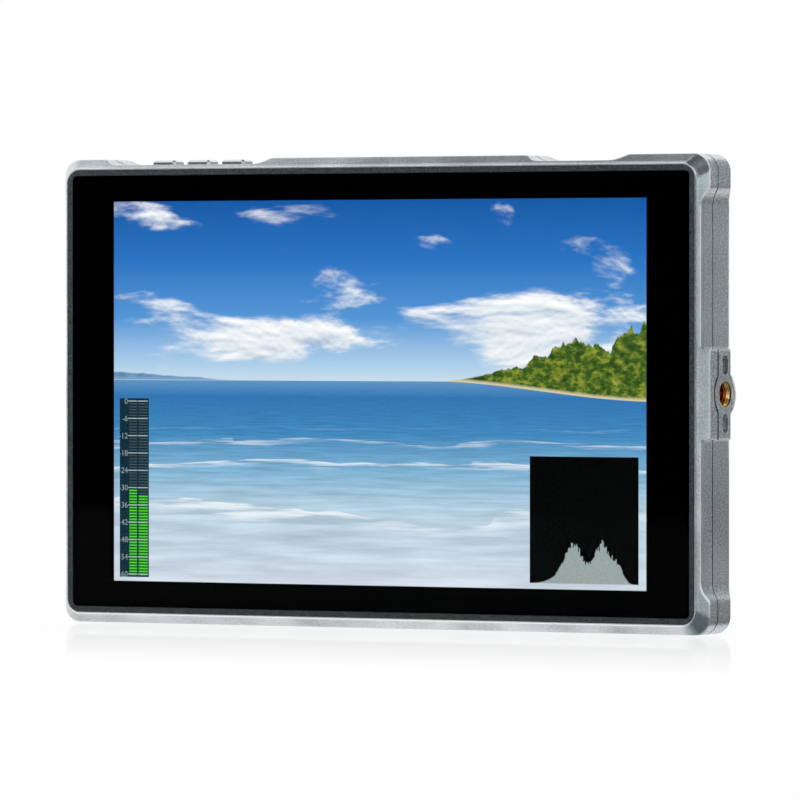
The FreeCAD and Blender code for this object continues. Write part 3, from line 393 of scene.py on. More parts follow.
def coated_glass():
    made, tree, shader, place = blank_finish("coated_cover_glass")
    smear = add(tree, "ShaderNodeTexNoise", {"Vector": place, "Scale": 1 / wipe_mark, "Detail": 2.0})
    gloss = add(tree, "ShaderNodeMapRange",
                {"Value": smear, "From Min": 0.3, "From Max": 0.7, "To Min": 0.0, "To Max": 0.02})
    feed(tree, shader, {"Base Color": paint("#ffffff"), "Roughness": gloss, "Transmission Weight": 1.0,
                        "IOR": 1.5, "Specular Tint": paint(coating_tint)})
    return made


finishes["glass"] = coated_glass()
print("made", finishes["glass"].name)

# %% [markdown]
# ## Turned brass
# The tripod threads are cut in brass. In the open it is pale gold. Deep in the bore the light has met the
# metal several times and has turned orange brown, which is painted into the colour, and painted shade darkens
# the roots of the thread. An Ambient Occlusion node could find the depth, but it is blind to the roots. So
# the mesh of each insert carries two numbers at every point, its depth in the bore and how deep the thread is
# cut there, and Attribute nodes read them.

# %% Turned brass
tool_rings = 0.25 * mm
bore_shade = 2.0 * mm        # the depth at which the bore has its deepest colour
# painted light: pale gold at the mouth, turning orange brown deeper in the bore
brass_tones = [(0.10, "#efdba4"), (0.55, "#e0c078"), (0.70, "#dc8a34"), (1.0, "#c4661c")]
# the colour of the painted shade in the roots of the thread
root_shade_tone = "#481a06"


def turned_brass():
    """Free-cutting brass: pale gold in the open, painted orange by the light deep in the bore, and darkened
    by painted shade in the roots.
    """
    made, tree, shader, place = blank_finish("turned_brass")
    rings = add(tree, "ShaderNodeTexNoise", {"Vector": place, "Scale": 1 / tool_rings, "Detail": 3.0})
    gloss = add(tree, "ShaderNodeMapRange",
                {"Value": rings, "From Min": 0.3, "From Max": 0.7, "To Min": 0.17, "To Max": 0.27})
    deep = add(tree, "ShaderNodeAttribute", attribute_name="bore_depth")
    sunk = add(tree, "ShaderNodeMapRange", {"Value": deep.outputs["Fac"], "From Max": bore_shade})
    tone = add(tree, "ShaderNodeValToRGB", {"Fac": sunk}, stops=brass_tones)
    cut = add(tree, "ShaderNodeAttribute", attribute_name="thread_cut")
    # painted shade in the roots of the thread
    root_shade = add(tree, "ShaderNodeMapRange", {"Value": cut.outputs["Fac"], "From Min": 0.35, "From Max": 0.8})
    shaded_brass = add(tree, "ShaderNodeMix", {0: root_shade, 6: tone, 7: paint(root_shade_tone)}, data_type="RGBA")
    feed(tree, shader, {"Base Color": shaded_brass.outputs[2], "Roughness": gloss, "Metallic": 1.0})
    return made


finishes["brass"] = turned_brass()
print("made", finishes["brass"].name)

# %% [markdown]
# ## The picture on the screen
# The panel is switched on, so its surface gives light: the picture goes into the shader's emission. It
# is a made-up sea shore with a blue sky, long clouds, bright shallows and a green headland. Everything
# is drawn from the place on the panel: a share across (from -0.5 to 0.5) and a share up (the same).
# Ramps give the sky and sea their colours, and noise gives clouds, waves and scrub.

# %% Picture measures
panel_low, panel_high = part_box("lcd_panel")
panel_middle = (panel_low + panel_high) / 2
picture_wide = 150.6 * mm
picture_tall = 94.25 * mm
picture_shift = -0.2 * mm    # the lit area sits a little left of the middle
horizon = 0.03
print("picture:", picture_wide / mm, "by", picture_tall / mm, "mm")

# %% Sky and clouds
sky_tones = [(0.0, "#c9deec"), (0.10, "#a9cdea"), (0.34, "#5597d6"), (0.66, "#2a74c2"), (1.0, "#1259a6")]
cloud_cover = [(0.0, "#303030"), (0.22, "#707070"), (0.42, "#484848"), (0.70, "#202020"), (1.0, "#000000")]
cloud_tones = [(0.0, "#9fb4cb"), (0.5, "#dde6ee"), (1.0, "#ffffff")]
cloud_shape = (2.2, 1, 4.6)
cloud_place = 4.3
light_shift = 0.05           # a copy moved this far shades the undersides


def sky_colour(tree, share, high):
    lift = add(tree, "ShaderNodeMapRange", {"Value": high, "From Min": horizon, "From Max": 0.5})
    sky = add(tree, "ShaderNodeValToRGB", {"Fac": lift}, stops=sky_tones)
    cover = add(tree, "ShaderNodeValToRGB", {"Fac": lift}, stops=cloud_cover)
    puffs = []
    for shift in (0.0, light_shift):
        moved = add(tree, "ShaderNodeMapping",
                    {"Vector": share, "Location": (cloud_place, 0, shift), "Scale": cloud_shape})
        puffs.append(add(tree, "ShaderNodeTexNoise", {"Vector": moved, "Scale": 1.7, "Detail": 9.0,
                                                      "Roughness": 0.56, "Distortion": 0.25}))
    dense = add(tree, "ShaderNodeMath", {0: cover, 1: 1.15, 2: puffs[0]}, operation="MULTIPLY_ADD")
    mask = add(tree, "ShaderNodeMapRange", {"Value": dense, "From Min": 0.585, "From Max": 0.72},
               interpolation_type="SMOOTHSTEP")
    slope = add(tree, "ShaderNodeMath", {0: puffs[0], 1: puffs[1]}, operation="SUBTRACT")
    shade = add(tree, "ShaderNodeMapRange", {"Value": slope, "From Min": -0.10, "From Max": 0.06})
    white = add(tree, "ShaderNodeValToRGB", {"Fac": shade}, stops=cloud_tones)
    return add(tree, "ShaderNodeMix", {0: mask, 6: sky, 7: white}, data_type="RGBA").outputs[2]


print("sky from", sky_tones[0][1], "to", sky_tones[-1][1])

# %% Sea and surf
sea_tones = [(0.0, "#5f97c6"), (0.08, "#3276b4"), (0.26, "#4189be"), (0.44, "#7fb3d3"), (0.62, "#b4cfe0"),
             (1.0, "#d0dbe6")]
surf_place = [(0.22, "#000000"), (0.34, "#d0d0d0"), (0.66, "#d0d0d0"), (0.80, "#000000")]
wave_shape = (0.9, 3.2, 1)
wave_rows = 0.75


def sea_colour(tree, across, high):
    drop = add(tree, "ShaderNodeMath", {0: horizon, 1: high}, operation="SUBTRACT")
    depth = add(tree, "ShaderNodeMapRange", {"Value": drop, "From Max": 0.53})
    sea = add(tree, "ShaderNodeValToRGB", {"Fac": depth}, stops=sea_tones)
    near = add(tree, "ShaderNodeMath", {0: drop, 1: 0.03}, operation="ADD")
    far = add(tree, "ShaderNodeMath", {0: 1.0, 1: near}, operation="DIVIDE")
    along = add(tree, "ShaderNodeMath", {0: across, 1: far}, operation="MULTIPLY")
    plane = add(tree, "ShaderNodeCombineXYZ", {"X": along, "Y": far})
    drawn = add(tree, "ShaderNodeMapping", {"Vector": plane, "Scale": wave_shape})
    waves = add(tree, "ShaderNodeTexNoise",
                {"Vector": drawn, "Scale": 2.4, "Detail": 6.0, "Roughness": 0.6})
    rough = add(tree, "ShaderNodeMapRange",
                {"Value": waves, "From Min": 0.3, "From Max": 0.7, "To Min": 0.80, "To Max": 1.17})
    lit = add(tree, "ShaderNodeVectorMath", {0: sea, 1: rough}, operation="MULTIPLY")
    bend = add(tree, "ShaderNodeTexNoise", {"Vector": plane, "Scale": 0.55, "Detail": 4.0})
    swell = add(tree, "ShaderNodeMath", {0: bend, 1: 2.6, 2: far}, operation="MULTIPLY_ADD")
    turn = add(tree, "ShaderNodeMath", {0: swell, 1: wave_rows}, operation="MULTIPLY")
    part = add(tree, "ShaderNodeMath", {0: turn}, operation="FRACT")
    line = add(tree, "ShaderNodeMapRange", {"Value": part, "From Min": 0.74, "From Max": 0.98},
               interpolation_type="SMOOTHSTEP")
    where = add(tree, "ShaderNodeValToRGB", {"Fac": depth}, stops=surf_place)
    lace = add(tree, "ShaderNodeMapRange", {"Value": waves, "From Min": 0.40, "From Max": 0.56})
    foam = add(tree, "ShaderNodeMath", {0: line, 1: where}, operation="MULTIPLY")
    torn = add(tree, "ShaderNodeMath", {0: foam, 1: lace}, operation="MULTIPLY")
    return add(tree, "ShaderNodeMix", {0: torn, 6: lit, 7: paint("#ffffff")}, data_type="RGBA").outputs[2]


print("sea from", sea_tones[0][1], "to", sea_tones[-1][1])

# %% Headland and far islands
def land_layer(tree, share, across, high, below, start, end, rise, bumps, sink, tones, shore):
    """Lay a strip of land over the colour below: it grows from start to end, with bumps on its skyline."""
    climb = add(tree, "ShaderNodeMapRange", {"Value": across, "From Min": start, "From Max": end},
                interpolation_type="SMOOTHSTEP")
    skyline = add(tree, "ShaderNodeTexNoise", {"W": across, "Scale": bumps, "Detail": 6.0, "Roughness": 0.55},
                  noise_dimensions="1D")
    swing = add(tree, "ShaderNodeMapRange", {"Value": skyline, "From Min": 0.25, "From Max": 0.75,
                "To Min": 0.45 * rise, "To Max": 1.35 * rise})
    top = add(tree, "ShaderNodeMath", {0: climb, 1: swing, 2: horizon}, operation="MULTIPLY_ADD")
    foot = add(tree, "ShaderNodeMath", {0: climb, 1: -sink, 2: horizon}, operation="MULTIPLY_ADD")
    under = add(tree, "ShaderNodeMath", {0: top, 1: high}, operation="SUBTRACT")
    over = add(tree, "ShaderNodeMath", {0: high, 1: foot}, operation="SUBTRACT")
    inside = add(tree, "ShaderNodeMapRange", {"Value": under, "From Max": 0.003})
    above = add(tree, "ShaderNodeMapRange", {"Value": over, "From Max": 0.002})
    mask = add(tree, "ShaderNodeMath", {0: inside, 1: above}, operation="MULTIPLY")
    scrub = add(tree, "ShaderNodeTexNoise", {"Vector": share, "Scale": 46.0, "Detail": 8.0, "Roughness": 0.7})
    colour = add(tree, "ShaderNodeValToRGB", {"Fac": scrub}, stops=tones)
    dry = add(tree, "ShaderNodeMapRange", {"Value": over, "From Min": 0.004, "From Max": 0.012})
    ground = add(tree, "ShaderNodeMix", {0: dry, 6: paint(shore), 7: colour}, data_type="RGBA").outputs[2]
    return add(tree, "ShaderNodeMix", {0: mask, 6: below, 7: ground}, data_type="RGBA").outputs[2]


print("land stands on the horizon at", horizon)

# %% Lit panel
far_tones = [(0.35, "#4d7aa8"), (0.65, "#7aa2c6")]
head_tones = [(0.32, "#16301a"), (0.48, "#3f5f20"), (0.58, "#7f8f30"), (0.70, "#b3a95c")]


def lit_panel():
    made, tree, shader, place = blank_finish("lit_picture_panel")
    share = add(tree, "ShaderNodeMapping",
                {"Vector": place,
                 "Location": (-picture_shift / picture_wide, 0, -panel_middle.z / picture_tall),
                 "Scale": (1 / picture_wide, 1 / picture_wide, 1 / picture_tall)})
    apart = add(tree, "ShaderNodeSeparateXYZ", {"Vector": share})
    across = apart.outputs["X"]
    high = apart.outputs["Z"]
    sky = sky_colour(tree, share, high)
    sea = sea_colour(tree, across, high)
    wet = add(tree, "ShaderNodeMath", {0: high, 1: horizon}, operation="LESS_THAN")
    view = add(tree, "ShaderNodeMix", {0: wet, 6: sky, 7: sea}, data_type="RGBA").outputs[2]
    view = land_layer(tree, share, across, high, view, start=-0.22, end=-0.46, rise=0.020, bumps=7.0,
                      sink=0.0, tones=far_tones, shore="#7aa2c6")
    view = land_layer(tree, share, across, high, view, start=0.10, end=0.52, rise=0.15, bumps=13.0,
                      sink=0.05, tones=head_tones, shore="#d8cba4")
    edges = add(tree, "ShaderNodeVectorMath", {0: share}, operation="ABSOLUTE")
    sides = add(tree, "ShaderNodeSeparateXYZ", {"Vector": edges})
    reach = add(tree, "ShaderNodeMath", {0: sides.outputs["X"], 1: sides.outputs["Z"]}, operation="MAXIMUM")
    outside = add(tree, "ShaderNodeMath", {0: reach, 1: 0.5}, operation="GREATER_THAN")
    view = add(tree, "ShaderNodeMix", {0: outside, 6: view, 7: paint("#000000")},
               data_type="RGBA").outputs[2]
    feed(tree, shader, {"Base Color": paint("#050505"), "Roughness": 0.6, "Specular IOR Level": 0.0,
                        "Emission Color": view, "Emission Strength": 1.0})
    return made


finishes["picture_panel"] = lit_panel()
print("picture nodes:", len(finishes["picture_panel"].node_tree.nodes))

# %% [markdown]
# ## Dress the CAD pieces
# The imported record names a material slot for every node, so the finishes are handed out by slot.

# %% Hand out the finishes
for part in frame["record"]["subparts"]:
    mesh = nodes[part["node"]].data
    mesh.materials.clear()
    mesh.materials.append(finishes[part["material_slot"]])

# %% [markdown]
# ## Marks on the screen
# The monitor lays a sound level meter and a brightness graph over the picture. Each is made of thin flat
# plates between the panel and the glass, where lit picture points would be, so their edges stay sharp.

# %% Flat marks
glass_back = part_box("cover_glass")[1].y
mark_gap = panel_low.y - glass_back
plate_share = 0.05           # the part of the gap that a plate is thick
flicker = 0.6 * mm
flicker_least = 0.94         # the dimmest picture points against the brightest


def lit_mark(name, code):
    """Even light of one colour, broken only by a faint flicker of the picture points."""
    made, tree, shader, place = blank_finish(name)
    points = add(tree, "ShaderNodeTexNoise", {"Vector": place, "Scale": 1 / flicker, "Detail": 1.0})
    dim = "#" + "".join(f"{int(int(code[i:i + 2], 16) * flicker_least):02x}" for i in (1, 3, 5))
    tone = add(tree, "ShaderNodeValToRGB", {"Fac": points}, stops=[(0.3, dim), (0.7, code)])
    feed(tree, shader, {"Base Color": paint("#030303"), "Specular IOR Level": 0.0,
                        "Emission Color": tone, "Emission Strength": 1.0})
    return made


def housed(piece):
    """Let a new piece ride on the housing."""
    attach(piece, "housing")
    return piece


def new_piece(name, work, material):
    """Turn a mesh at work into a piece of the scene."""
    mesh = bpy.data.meshes.new(name)
    work.to_mesh(mesh)
    work.free()
    mesh.materials.append(material)
    piece = bpy.data.objects.new(name, mesh)
    bpy.context.collection.objects.link(piece)
    return piece


def flat_mark(name, outlines, layer, material):
    """Flat plates that face the glass, from (x, z) corners in metres; a higher layer lies in front."""
    work = bmesh.new()
    y = panel_low.y - mark_gap * layer
    for outline in outlines:
        work.faces.new([work.verts.new((x, y, z)) for x, z in outline])
    piece = new_piece(name, work, material)
    body = piece.modifiers.new("plate", "SOLIDIFY")
    body.thickness = mark_gap * plate_share
    body.offset = 0.0
    return housed(piece)


def oblong(x0, x1, z0, z1):
    return [(x0 * mm, z0 * mm), (x1 * mm, z0 * mm), (x1 * mm, z1 * mm), (x0 * mm, z1 * mm)]


print("room for marks:", round(mark_gap / mm, 3), "mm")

# %% Level meter
back_layer, bar_layer, line_layer = 0.2, 0.4, 0.55
meter_left, meter_right = -73.8, -65.3
meter_low, meter_top = 11.5, 55.9
meter_margin = 0.7
meter_rows = 61
meter_pitch = (meter_top - meter_low - 2 * meter_margin) / (meter_rows - 1)
meter_bars = ((-71.0, -68.75, 31), (-68.25, -65.6, 33))    # left, right and first lit row of each channel
row_top, row_fold, row_foot = 0.18, -0.16, -0.42           # a lit row is bright down to its fold
unlit_top, unlit_foot = 0.14, -0.12
tick_step = 6
tick_half = 0.13
tick_out = 0.3
flat_mark("level_meter_back", [oblong(meter_left, meter_right, meter_low, meter_top)], back_layer,
          lit_mark("lit_meter_ground", "#12303e"))
lit_tops, lit_feet, unlit, ticks = [], [], [], []
for left, right, first_lit in meter_bars:
    for row in range(meter_rows):
        middle = meter_top - meter_margin - row * meter_pitch
        if row >= first_lit:
            lit_tops.append(oblong(left, right, middle + row_fold, middle + row_top))
            lit_feet.append(oblong(left, right, middle + row_foot, middle + row_fold))
        elif row % tick_step:
            unlit.append(oblong(left, right, middle + unlit_foot, middle + unlit_top))
        if row % tick_step == 0:
            ticks.append(oblong(left - tick_out, right, middle - tick_half, middle + tick_half))
flat_mark("level_meter_lit_tops", lit_tops, bar_layer, lit_mark("lit_meter_green", "#58d33a"))
flat_mark("level_meter_lit_feet", lit_feet, bar_layer, lit_mark("lit_meter_deep_green", "#0b7a14"))
flat_mark("level_meter_unlit", unlit, bar_layer, lit_mark("lit_meter_grey", "#48585a"))
flat_mark("level_meter_ticks", ticks, line_layer, lit_mark("lit_meter_line", "#a9bdbd"))
print("meter rows:", meter_rows, "pitch:", round(meter_pitch, 3), "mm")

# %% Numbers beside the meter
number_size = 2.0
number_right = -71.4
number_drop = 0.35 * number_size
number_share = 0.02          # the part of the gap that a number stands out to each side
words = bpy.data.curves.new("level_meter_numbers", "FONT")
words.body = "\n".join(str(-level) for level in range(0, meter_rows, tick_step))
words.align_x = "RIGHT"
words.size = number_size * mm
words.space_line = tick_step * meter_pitch / number_size
words.extrude = mark_gap * number_share
words.materials.append(lit_mark("lit_meter_number", "#93a3a6"))
numbers = bpy.data.objects.new("level_meter_numbers", words)
numbers.location = (number_right * mm, panel_low.y - mark_gap * bar_layer,
                    (meter_top - meter_margin - number_drop) * mm)
numbers.rotation_euler = (math.pi / 2, 0, 0)
bpy.context.collection.objects.link(numbers)
housed(numbers)
print("numbers:", words.body.replace("\n", " "))

# %% Brightness graph
graph_left, graph_right = 43.1, 73.0
graph_low, graph_top = 11.9, 42.5
graph_columns = 110
# Each hump: its height in mm, its middle and width as shares of the graph, and its steepness
graph_humps = ((8.4, 0.40, 0.12, 2), (8.6, 0.67, 0.10, 2), (3.6, 0.81, 0.07, 2), (1.3, 0.48, 0.34, 4))
graph_unrest = (0.84, 1.08)
graph_step = (graph_right - graph_left) / graph_columns
flat_mark("brightness_graph_back", [oblong(graph_left, graph_right, graph_low, graph_top)], back_layer,
          lit_mark("lit_graph_ground", "#020303"))
draw = random.Random(7)
columns = []
for column in range(graph_columns):
    share = (column + 0.5) / graph_columns
    height = sum(tall * math.exp(-((share - middle) / wide) ** power)
                 for tall, middle, wide, power in graph_humps)
    height *= draw.uniform(*graph_unrest)
    left = graph_left + column * graph_step
    columns.append(oblong(left, left + graph_step, graph_low, graph_low + height))
flat_mark("brightness_graph_columns", columns, bar_layer, lit_mark("lit_graph_grey", "#9dabaa"))
print("graph columns:", graph_columns)

# %% [markdown]
# ## Tapped brass inserts
# The tripod threads are brass sleeves cut with a quarter-inch thread: 20 turns to the inch. A plain hole
# with stripes would not catch the light as a thread does, so the wall of the bore is a grid whose radius
# follows a V that climbs once per turn. A smooth funnel at the mouth leads the screw in, and a thin collar
# fills the step between the sleeve and the face of the casing.

# %% Thread inserts
thread_pitch = 1.27 * mm
thread_crest = 2.6 * mm
thread_root = 3.175 * mm
thread_flat = 0.12           # crest and root are flat over this share of a flank
mouth_radius = 3.1 * mm
mouth_land = 0.35 * mm
mouth_depth = 1.3 * mm
collar_radius = 3.2 * mm
collar_height = 0.27 * mm
sleeve_radius = 3.9 * mm
sleeve_edge = 0.15 * mm
thread_steps = 72
rows_per_turn = 12
thread_sharp = 35            # degrees between faces that keep a sharp edge


def eased(value):
    """A smooth step from 0 to 1."""
    value = min(max(value, 0.0), 1.0)
    return value * value * (3 - 2 * value)


def bore_radius(depth, turn):
    """Radius of the tapped bore at a depth below the face and a share of a full turn."""
    phase = (depth / thread_pitch + turn) % 1.0
    flank = min(max((abs(2 * phase - 1) - thread_flat) / (1 - 2 * thread_flat), 0.0), 1.0)
    funnel = (mouth_radius - thread_crest) * (1 - eased((depth - mouth_land) / (mouth_depth - mouth_land)))
    cut = (thread_root - thread_crest) * flank * eased((depth - mouth_depth) / mouth_land)
    return thread_crest + max(funnel, cut)


def cut_share(radius, depth):
    """0 on the crest of the thread and above it, 1 at the root."""
    return (radius - thread_crest) / (thread_root - thread_crest) if depth > mouth_depth else 0.0


def band_faces(work, loops):
    """Join each ring of points to the next with a band of faces."""
    for first, second in zip(loops, loops[1:]):
        for index in range(len(first)):
            after = (index + 1) % len(first)
            work.faces.new((first[index], first[after], second[after], second[index]))


def turned_piece(node, ending, work, slot, sharp):
    """A smooth piece, sharp at edges over an angle in degrees, in the place of a node."""
    piece = new_piece(node + ending, work, finishes[slot])
    piece.data.shade_smooth()
    piece.data.set_sharp_from_angle(angle=math.radians(sharp))
    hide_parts(node)
    return housed(piece)


def tapped_insert(node, out):
    low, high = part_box(node)
    middle = (low + high) / 2
    solid_length = abs((high - low).dot(out))
    length = solid_length + collar_height
    work = bmesh.new()
    deep = work.verts.layers.float.new("bore_depth")
    cut = work.verts.layers.float.new("thread_cut")
    rows = int(length / thread_pitch * rows_per_turn)
    rings = []
    for row in range(rows + 1):
        depth = length * row / rows
        rings.append([(bore_radius(depth, index / thread_steps), depth) for index in range(thread_steps)])
    narrow = sleeve_radius - sleeve_edge
    outside = ((narrow, length), (sleeve_radius, length - sleeve_edge),
               (sleeve_radius, collar_height + sleeve_edge), (narrow, collar_height),
               (collar_radius, collar_height), (collar_radius, 0.0))
    rings += [[point] * thread_steps for point in outside]
    loops = []
    for ring in rings:
        loop = []
        for index, (radius, depth) in enumerate(ring):
            turn = 2 * math.pi * index / thread_steps
            point = work.verts.new((radius * math.cos(turn), radius * math.sin(turn), -depth))
            point[deep] = depth
            point[cut] = cut_share(radius, depth)
            loop.append(point)
        loops.append(loop)
    band_faces(work, loops + loops[:1])
    bmesh.ops.recalc_face_normals(work, faces=work.faces)
    face = Matrix.Translation(middle + out * (solid_length / 2 + collar_height))
    work.transform(face @ out.to_track_quat("Z", "Y").to_matrix().to_4x4())
    return turned_piece(node, "_tapped", work, "brass", thread_sharp)


for node, out in (("right_thread_insert", Vector((1, 0, 0))), ("bottom_thread_insert", Vector((0, 0, -1)))):
    print(node, len(tapped_insert(node, out).data.polygons), "faces")

# %% [markdown]
# ## Screw heads
# The screws of the back are socket screws: a low round head with a chamfered edge and a hexagon for the
# key. In the solids they are plain prisms, so each group is replaced by turned heads with a real recess.

# %% Socket screws
head_steps = 36
head_height = 1.2 * mm
head_chamfer = 0.3 * mm
head_sharp = 30
hexagon_flats = 2.0 * mm
hexagon_depth = 0.75 * head_height


def hexagon_radius(turn, flats):
    """Distance from the middle to the edge of a hexagon, along a turn in radians."""
    corner = (turn + math.pi / 6) % (math.pi / 3) - math.pi / 6
    return flats / 2 / math.cos(corner)


def screw_heads(node, radius, slot):
    low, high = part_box(node)
    work = bmesh.new()
    rings = ((radius, head_height), (radius, head_chamfer), (radius - head_chamfer, 0.0),
             (None, 0.0), (None, hexagon_depth))
    for x in (low.x + radius, high.x - radius):
        for z in (low.z + radius, high.z - radius):
            loops = []
            for ring, depth in rings:
                loop = []
                for index in range(head_steps):
                    turn = 2 * math.pi * index / head_steps
                    reach = ring if ring else hexagon_radius(turn, hexagon_flats)
                    point = (x + reach * math.cos(turn), high.y - depth, z + reach * math.sin(turn))
                    loop.append(work.verts.new(point))
                loops.append(loop)
            band_faces(work, loops)
            work.faces.new(loops[-1])
            work.faces.new(loops[0])
    bmesh.ops.recalc_face_normals(work, faces=work.faces)
    return turned_piece(node, "_heads", work, slot, head_sharp)


for node, radius in (("case_screws", 2.3 * mm), ("plate_screws", 2.2 * mm)):
    print(node, len(screw_heads(node, radius, "steel").data.polygons), "faces")

# %% [markdown]
# ## The studio
# The photograph is lit like a light tent: white on all sides, with cards that give the metal its darker
# faces. The world is an even white, so colours render as they are written. The floor is polished white
# board. The camera sees it a nearly even white, with a part of the object's shadow and a faint mirror
# image of the lower edge.

# %% World
world = bpy.data.worlds.new("light_tent")
world.use_nodes = True
feed(world.node_tree, world.node_tree.nodes["Background"], {"Color": (1, 1, 1, 1), "Strength": 1.0})
bpy.context.scene.world = world


def stage_plate(name, centre, across, up, material):
    """A flat stage piece from its centre and two half sides."""
    centre, across, up = Vector(centre), Vector(across), Vector(up)
    corners = [centre - across - up, centre + across - up, centre + across + up, centre - across + up]
    mesh = bpy.data.meshes.new(name)
    mesh.from_pydata(corners, [], [(0, 1, 2, 3)])
    mesh.materials.append(material)
    piece = bpy.data.objects.new(name, mesh)
    bpy.context.collection.objects.link(piece)
    return piece


print("world:", world.name)

# %% [markdown]
# ### What the metal sees in the floor
# The sides of the casing mirror the floor beside it. There it is graded in greys, as by papers laid out of
# sight, and the Light Path node gives these greys to mirrored light alone. A light patch far out is for the
# upper ramp, one behind is for the lower end of the thread's boss, and a strip at the foot lights the
# lowest edge. A dark bluish patch in front is for the lower corner of the front chamfer.

# %% Greys of the board
board_reach = 0.4
board_greys = [(0.30, "#828282"), (0.50, "#bcbcbc"), (0.62, "#c4c4c4"), (0.85, "#828282")]
foot_wide = cad_box[1].x - cad_box[0].x
foot_deep = 24 * mm
strip_starts, strip_full = 2.4 * mm, 0.2 * mm
ramp_patch = ((0.42, 1.5), (0.12, 0.26), 0.09, 0.8)        # spans in X and Y and fade in metres, peak
boss_patch = ((0.085, 0.115), (0.08, 0.11), 0.015, 0.5)
corner_patch = ((0.0885, 0.16), (-0.2, -0.0085), 0.005, 1.0)
pale_light = 0.90
dark_light = 0.16
dark_tint = "#c6dde8"


def soft_oblong(tree, apart, x_span, y_span, fade, peak):
    """The peak value inside an oblong of the board, 0 outside, with a fading edge."""
    inside = []
    for axis, (low, high), most in (("X", x_span, peak), ("Y", y_span, 1.0)):
        half = (high - low) / 2
        centred = add(tree, "ShaderNodeMath", {0: apart.outputs[axis], 1: low + half}, operation="SUBTRACT")
        off = add(tree, "ShaderNodeMath", {0: centred}, operation="ABSOLUTE")
        inside.append(add(tree, "ShaderNodeMapRange", {"Value": off, "From Min": half + fade,
                                                       "From Max": half, "To Max": most}))
    return add(tree, "ShaderNodeMath", {0: inside[0], 1: inside[1]}, operation="MULTIPLY")


def mirrored_greys(tree, apart, side):
    """Strength and tint of the board in mirrored light."""
    past_end = add(tree, "ShaderNodeMath", {0: apart.outputs["X"], 1: foot_wide / 2}, operation="SUBTRACT")
    past_side = add(tree, "ShaderNodeMath", {0: side, 1: foot_deep / 2}, operation="SUBTRACT")
    away = add(tree, "ShaderNodeMath", {0: past_end, 1: past_side}, operation="MAXIMUM")
    share = add(tree, "ShaderNodeMapRange", {"Value": away, "From Max": board_reach})
    far = add(tree, "ShaderNodeValToRGB", {"Fac": share}, stops=board_greys)
    for_ramp = soft_oblong(tree, apart, *ramp_patch)
    for_boss = soft_oblong(tree, apart, *boss_patch)
    lit = add(tree, "ShaderNodeMath", {0: for_ramp, 1: for_boss}, operation="MAXIMUM")
    close = add(tree, "ShaderNodeMapRange",
                {"Value": past_end, "From Min": strip_starts, "From Max": strip_full})
    pale = add(tree, "ShaderNodeMath", {0: close, 1: lit}, operation="MAXIMUM")
    dim = add(tree, "ShaderNodeMix", {0: pale, 2: far, 3: pale_light})
    for_corner = soft_oblong(tree, apart, *corner_patch)
    tone = add(tree, "ShaderNodeMix", {0: for_corner, 2: dim, 3: dark_light})
    tint = add(tree, "ShaderNodeMix", {0: for_corner, 6: (1, 1, 1, 1), 7: paint(dark_tint)}, data_type="RGBA")
    return tone, tint.outputs[2]


print("board is graded up to", board_reach, "m from the foot")

# %% Floor
board_evenness = 0.93
mirror_most = 0.33
mirror_near, mirror_far = 10 * mm, 210 * mm
glance_power = 12.0
floor_drop = -0.3 * mm
floor_half = 12.0


def polished_white_board():
    made, tree = bare_material("polished_white_board")
    ray = add(tree, "ShaderNodeLightPath")
    mirrored = ray.outputs["Is Glossy Ray"]
    direct = add(tree, "ShaderNodeMath", {0: ray.outputs["Is Camera Ray"], 1: mirrored}, operation="MAXIMUM")
    seen = add(tree, "ShaderNodeMath", {0: direct, 1: ray.outputs["Is Transmission Ray"]},
               operation="MAXIMUM")
    even = add(tree, "ShaderNodeMath", {0: seen, 1: board_evenness}, operation="MULTIPLY")
    place = add(tree, "ShaderNodeTexCoord").outputs["Object"]
    apart = add(tree, "ShaderNodeSeparateXYZ", {"Vector": place})
    side = add(tree, "ShaderNodeMath", {0: apart.outputs["Y"]}, operation="ABSOLUTE")
    tone, tint = mirrored_greys(tree, apart, side)
    loss = add(tree, "ShaderNodeMath", {0: tone, 1: 1.0}, operation="SUBTRACT")
    light = add(tree, "ShaderNodeMath", {0: loss, 1: mirrored, 2: 1.0}, operation="MULTIPLY_ADD")
    colour = add(tree, "ShaderNodeMix", {0: mirrored, 6: (1, 1, 1, 1), 7: tint}, data_type="RGBA")
    white = add(tree, "ShaderNodeEmission", {"Color": colour.outputs[2], "Strength": light})
    board = add(tree, "ShaderNodeBsdfDiffuse", {"Color": paint("#f7f7f7")})
    plain = add(tree, "ShaderNodeMixShader", {0: even, 1: board, 2: white})
    fade = add(tree, "ShaderNodeMapRange",
               {"Value": side, "From Min": mirror_near, "From Max": mirror_far,
                "To Min": mirror_most, "To Max": 0.0}, interpolation_type="SMOOTHSTEP")
    slant = add(tree, "ShaderNodeLayerWeight", {"Blend": 0.5})
    glance = add(tree, "ShaderNodeMath", {0: slant.outputs["Facing"], 1: glance_power}, operation="POWER")
    mirror = add(tree, "ShaderNodeMath", {0: fade, 1: glance}, operation="MULTIPLY")
    shine = add(tree, "ShaderNodeBsdfGlossy", {"Color": (1, 1, 1, 1), "Roughness": 0.05})
    both = add(tree, "ShaderNodeMixShader", {0: mirror, 1: plain, 2: shine})
    add(tree, "ShaderNodeOutputMaterial", {"Surface": both})
    return made


white_board = polished_white_board()
floor = stage_plate("floor", (0, 0, floor_drop), (floor_half, 0, 0), (0, floor_half, 0), white_board)
floor.visible_shadow = False
print("floor at", round(floor.data.vertices[0].co.z / mm, 2), "mm")

# %% [markdown]
# ## Cards
# Each card stands where one face of the casing looks: behind for the side wall, right for the side
# chamfer, overhead for the top edge, and in front for the key walls and the rim. A small white one, low
# behind, is for the lower ramp of the right side. A colour ramp grades each card from end to end, as a lamp
# grades a paper. Only mirrored light meets them, so they cast no shadow and stay out of sight. White gaps
# between the cards give the bright edges.

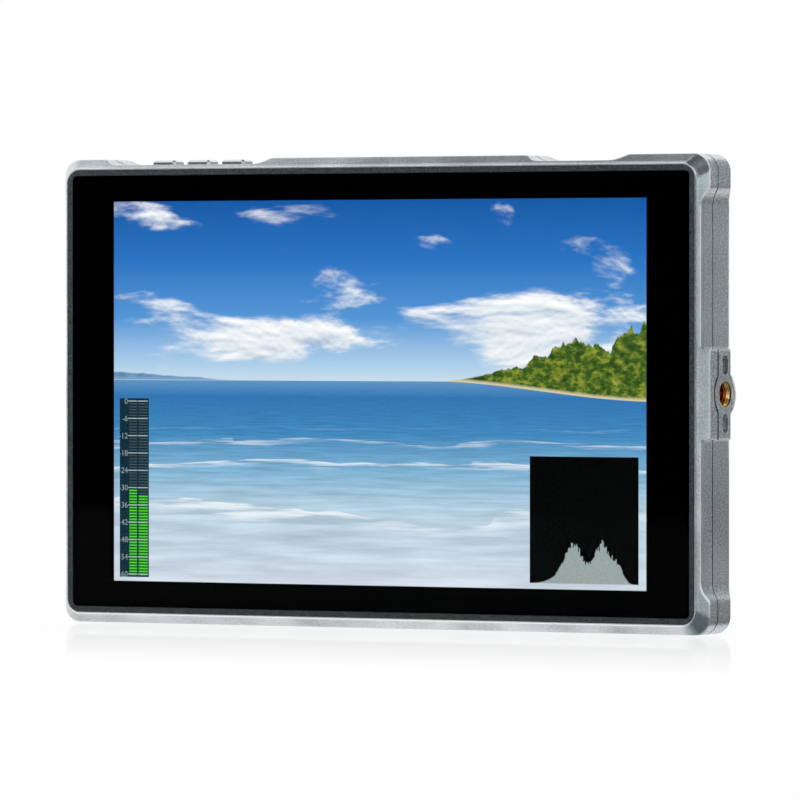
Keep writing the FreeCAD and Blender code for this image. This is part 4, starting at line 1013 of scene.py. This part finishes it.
# %% Cards
def card(name, centre, across, up, axis, stops):
    """A card graded along one axis; stops hold a share of the way and a grey."""
    made, tree = bare_material(name + "_graded_paper")
    place = add(tree, "ShaderNodeTexCoord").outputs["Generated"]
    apart = add(tree, "ShaderNodeSeparateXYZ", {"Vector": place})
    grey = add(tree, "ShaderNodeValToRGB", {"Fac": apart.outputs[axis]}, stops=stops)
    glow = add(tree, "ShaderNodeEmission", {"Color": grey, "Strength": 1.0})
    add(tree, "ShaderNodeOutputMaterial", {"Surface": glow})
    piece = stage_plate(name, centre, across, up, made)
    piece.visible_camera = False
    piece.visible_diffuse = False
    piece.visible_shadow = False
    piece.visible_transmission = False
    return piece


card("card_behind", (0.49, 0.62, 0.35), (0.37, 0, 0), (0, 0, 0.35), "Z",
     [(0.0, "#787f82"), (0.04, "#888e91"), (0.08, "#9aa0a2"), (0.15, "#a0a6a8"), (0.47, "#a0a6a8"),
      (0.63, "#aab0b2"), (0.75, "#b5babc"), (1.0, "#e4e8ea")])
card("card_low", (0.121, 0.15, 0.07), (0.021, 0, 0), (0, 0, 0.03), "Z",
     [(0.0, "#ffffff"), (1.0, "#ffffff")])
card("card_right", (0.62, -0.11, 0.08), (0.02, 0.11, 0), (0, 0, 0.085), "Z",
     [(0.0, "#c8d6d5"), (1.0, "#c8d6d5")])
card("card_right_high", (0.62, -0.11, 0.2925), (0, 0.26, 0), (0, 0, 0.1275), "Z",
     [(0.0, "#5a5e60"), (1.0, "#5a5e60")])
card("card_overhead_right", (0.31, -0.15, 0.42), (0.31, 0, 0), (0, 0.25, 0), "X",
     [(0.0, "#545859"), (0.14, "#565a5b"), (0.36, "#777c7f"), (0.55, "#7b8082"), (0.78, "#5e6264"),
      (1.0, "#5a5e60")])
card("card_overhead_left", (-0.21, 0.165, 0.42), (0.21, 0, 0), (0, 0.135, 0), "X",
     [(0.0, "#f2f5f5"), (0.36, "#cfd5d5"), (0.57, "#a8aeae"), (0.79, "#828789"), (1.0, "#484b4c")])
card("card_front", (-0.235, -1.0, 0.06), (0.815, 0, 0), (0, 0, 0.28), "X",
     [(0.0, "#404040"), (0.74, "#404040"), (0.86, "#82878a"), (1.0, "#82878a")])
print("cards stand")
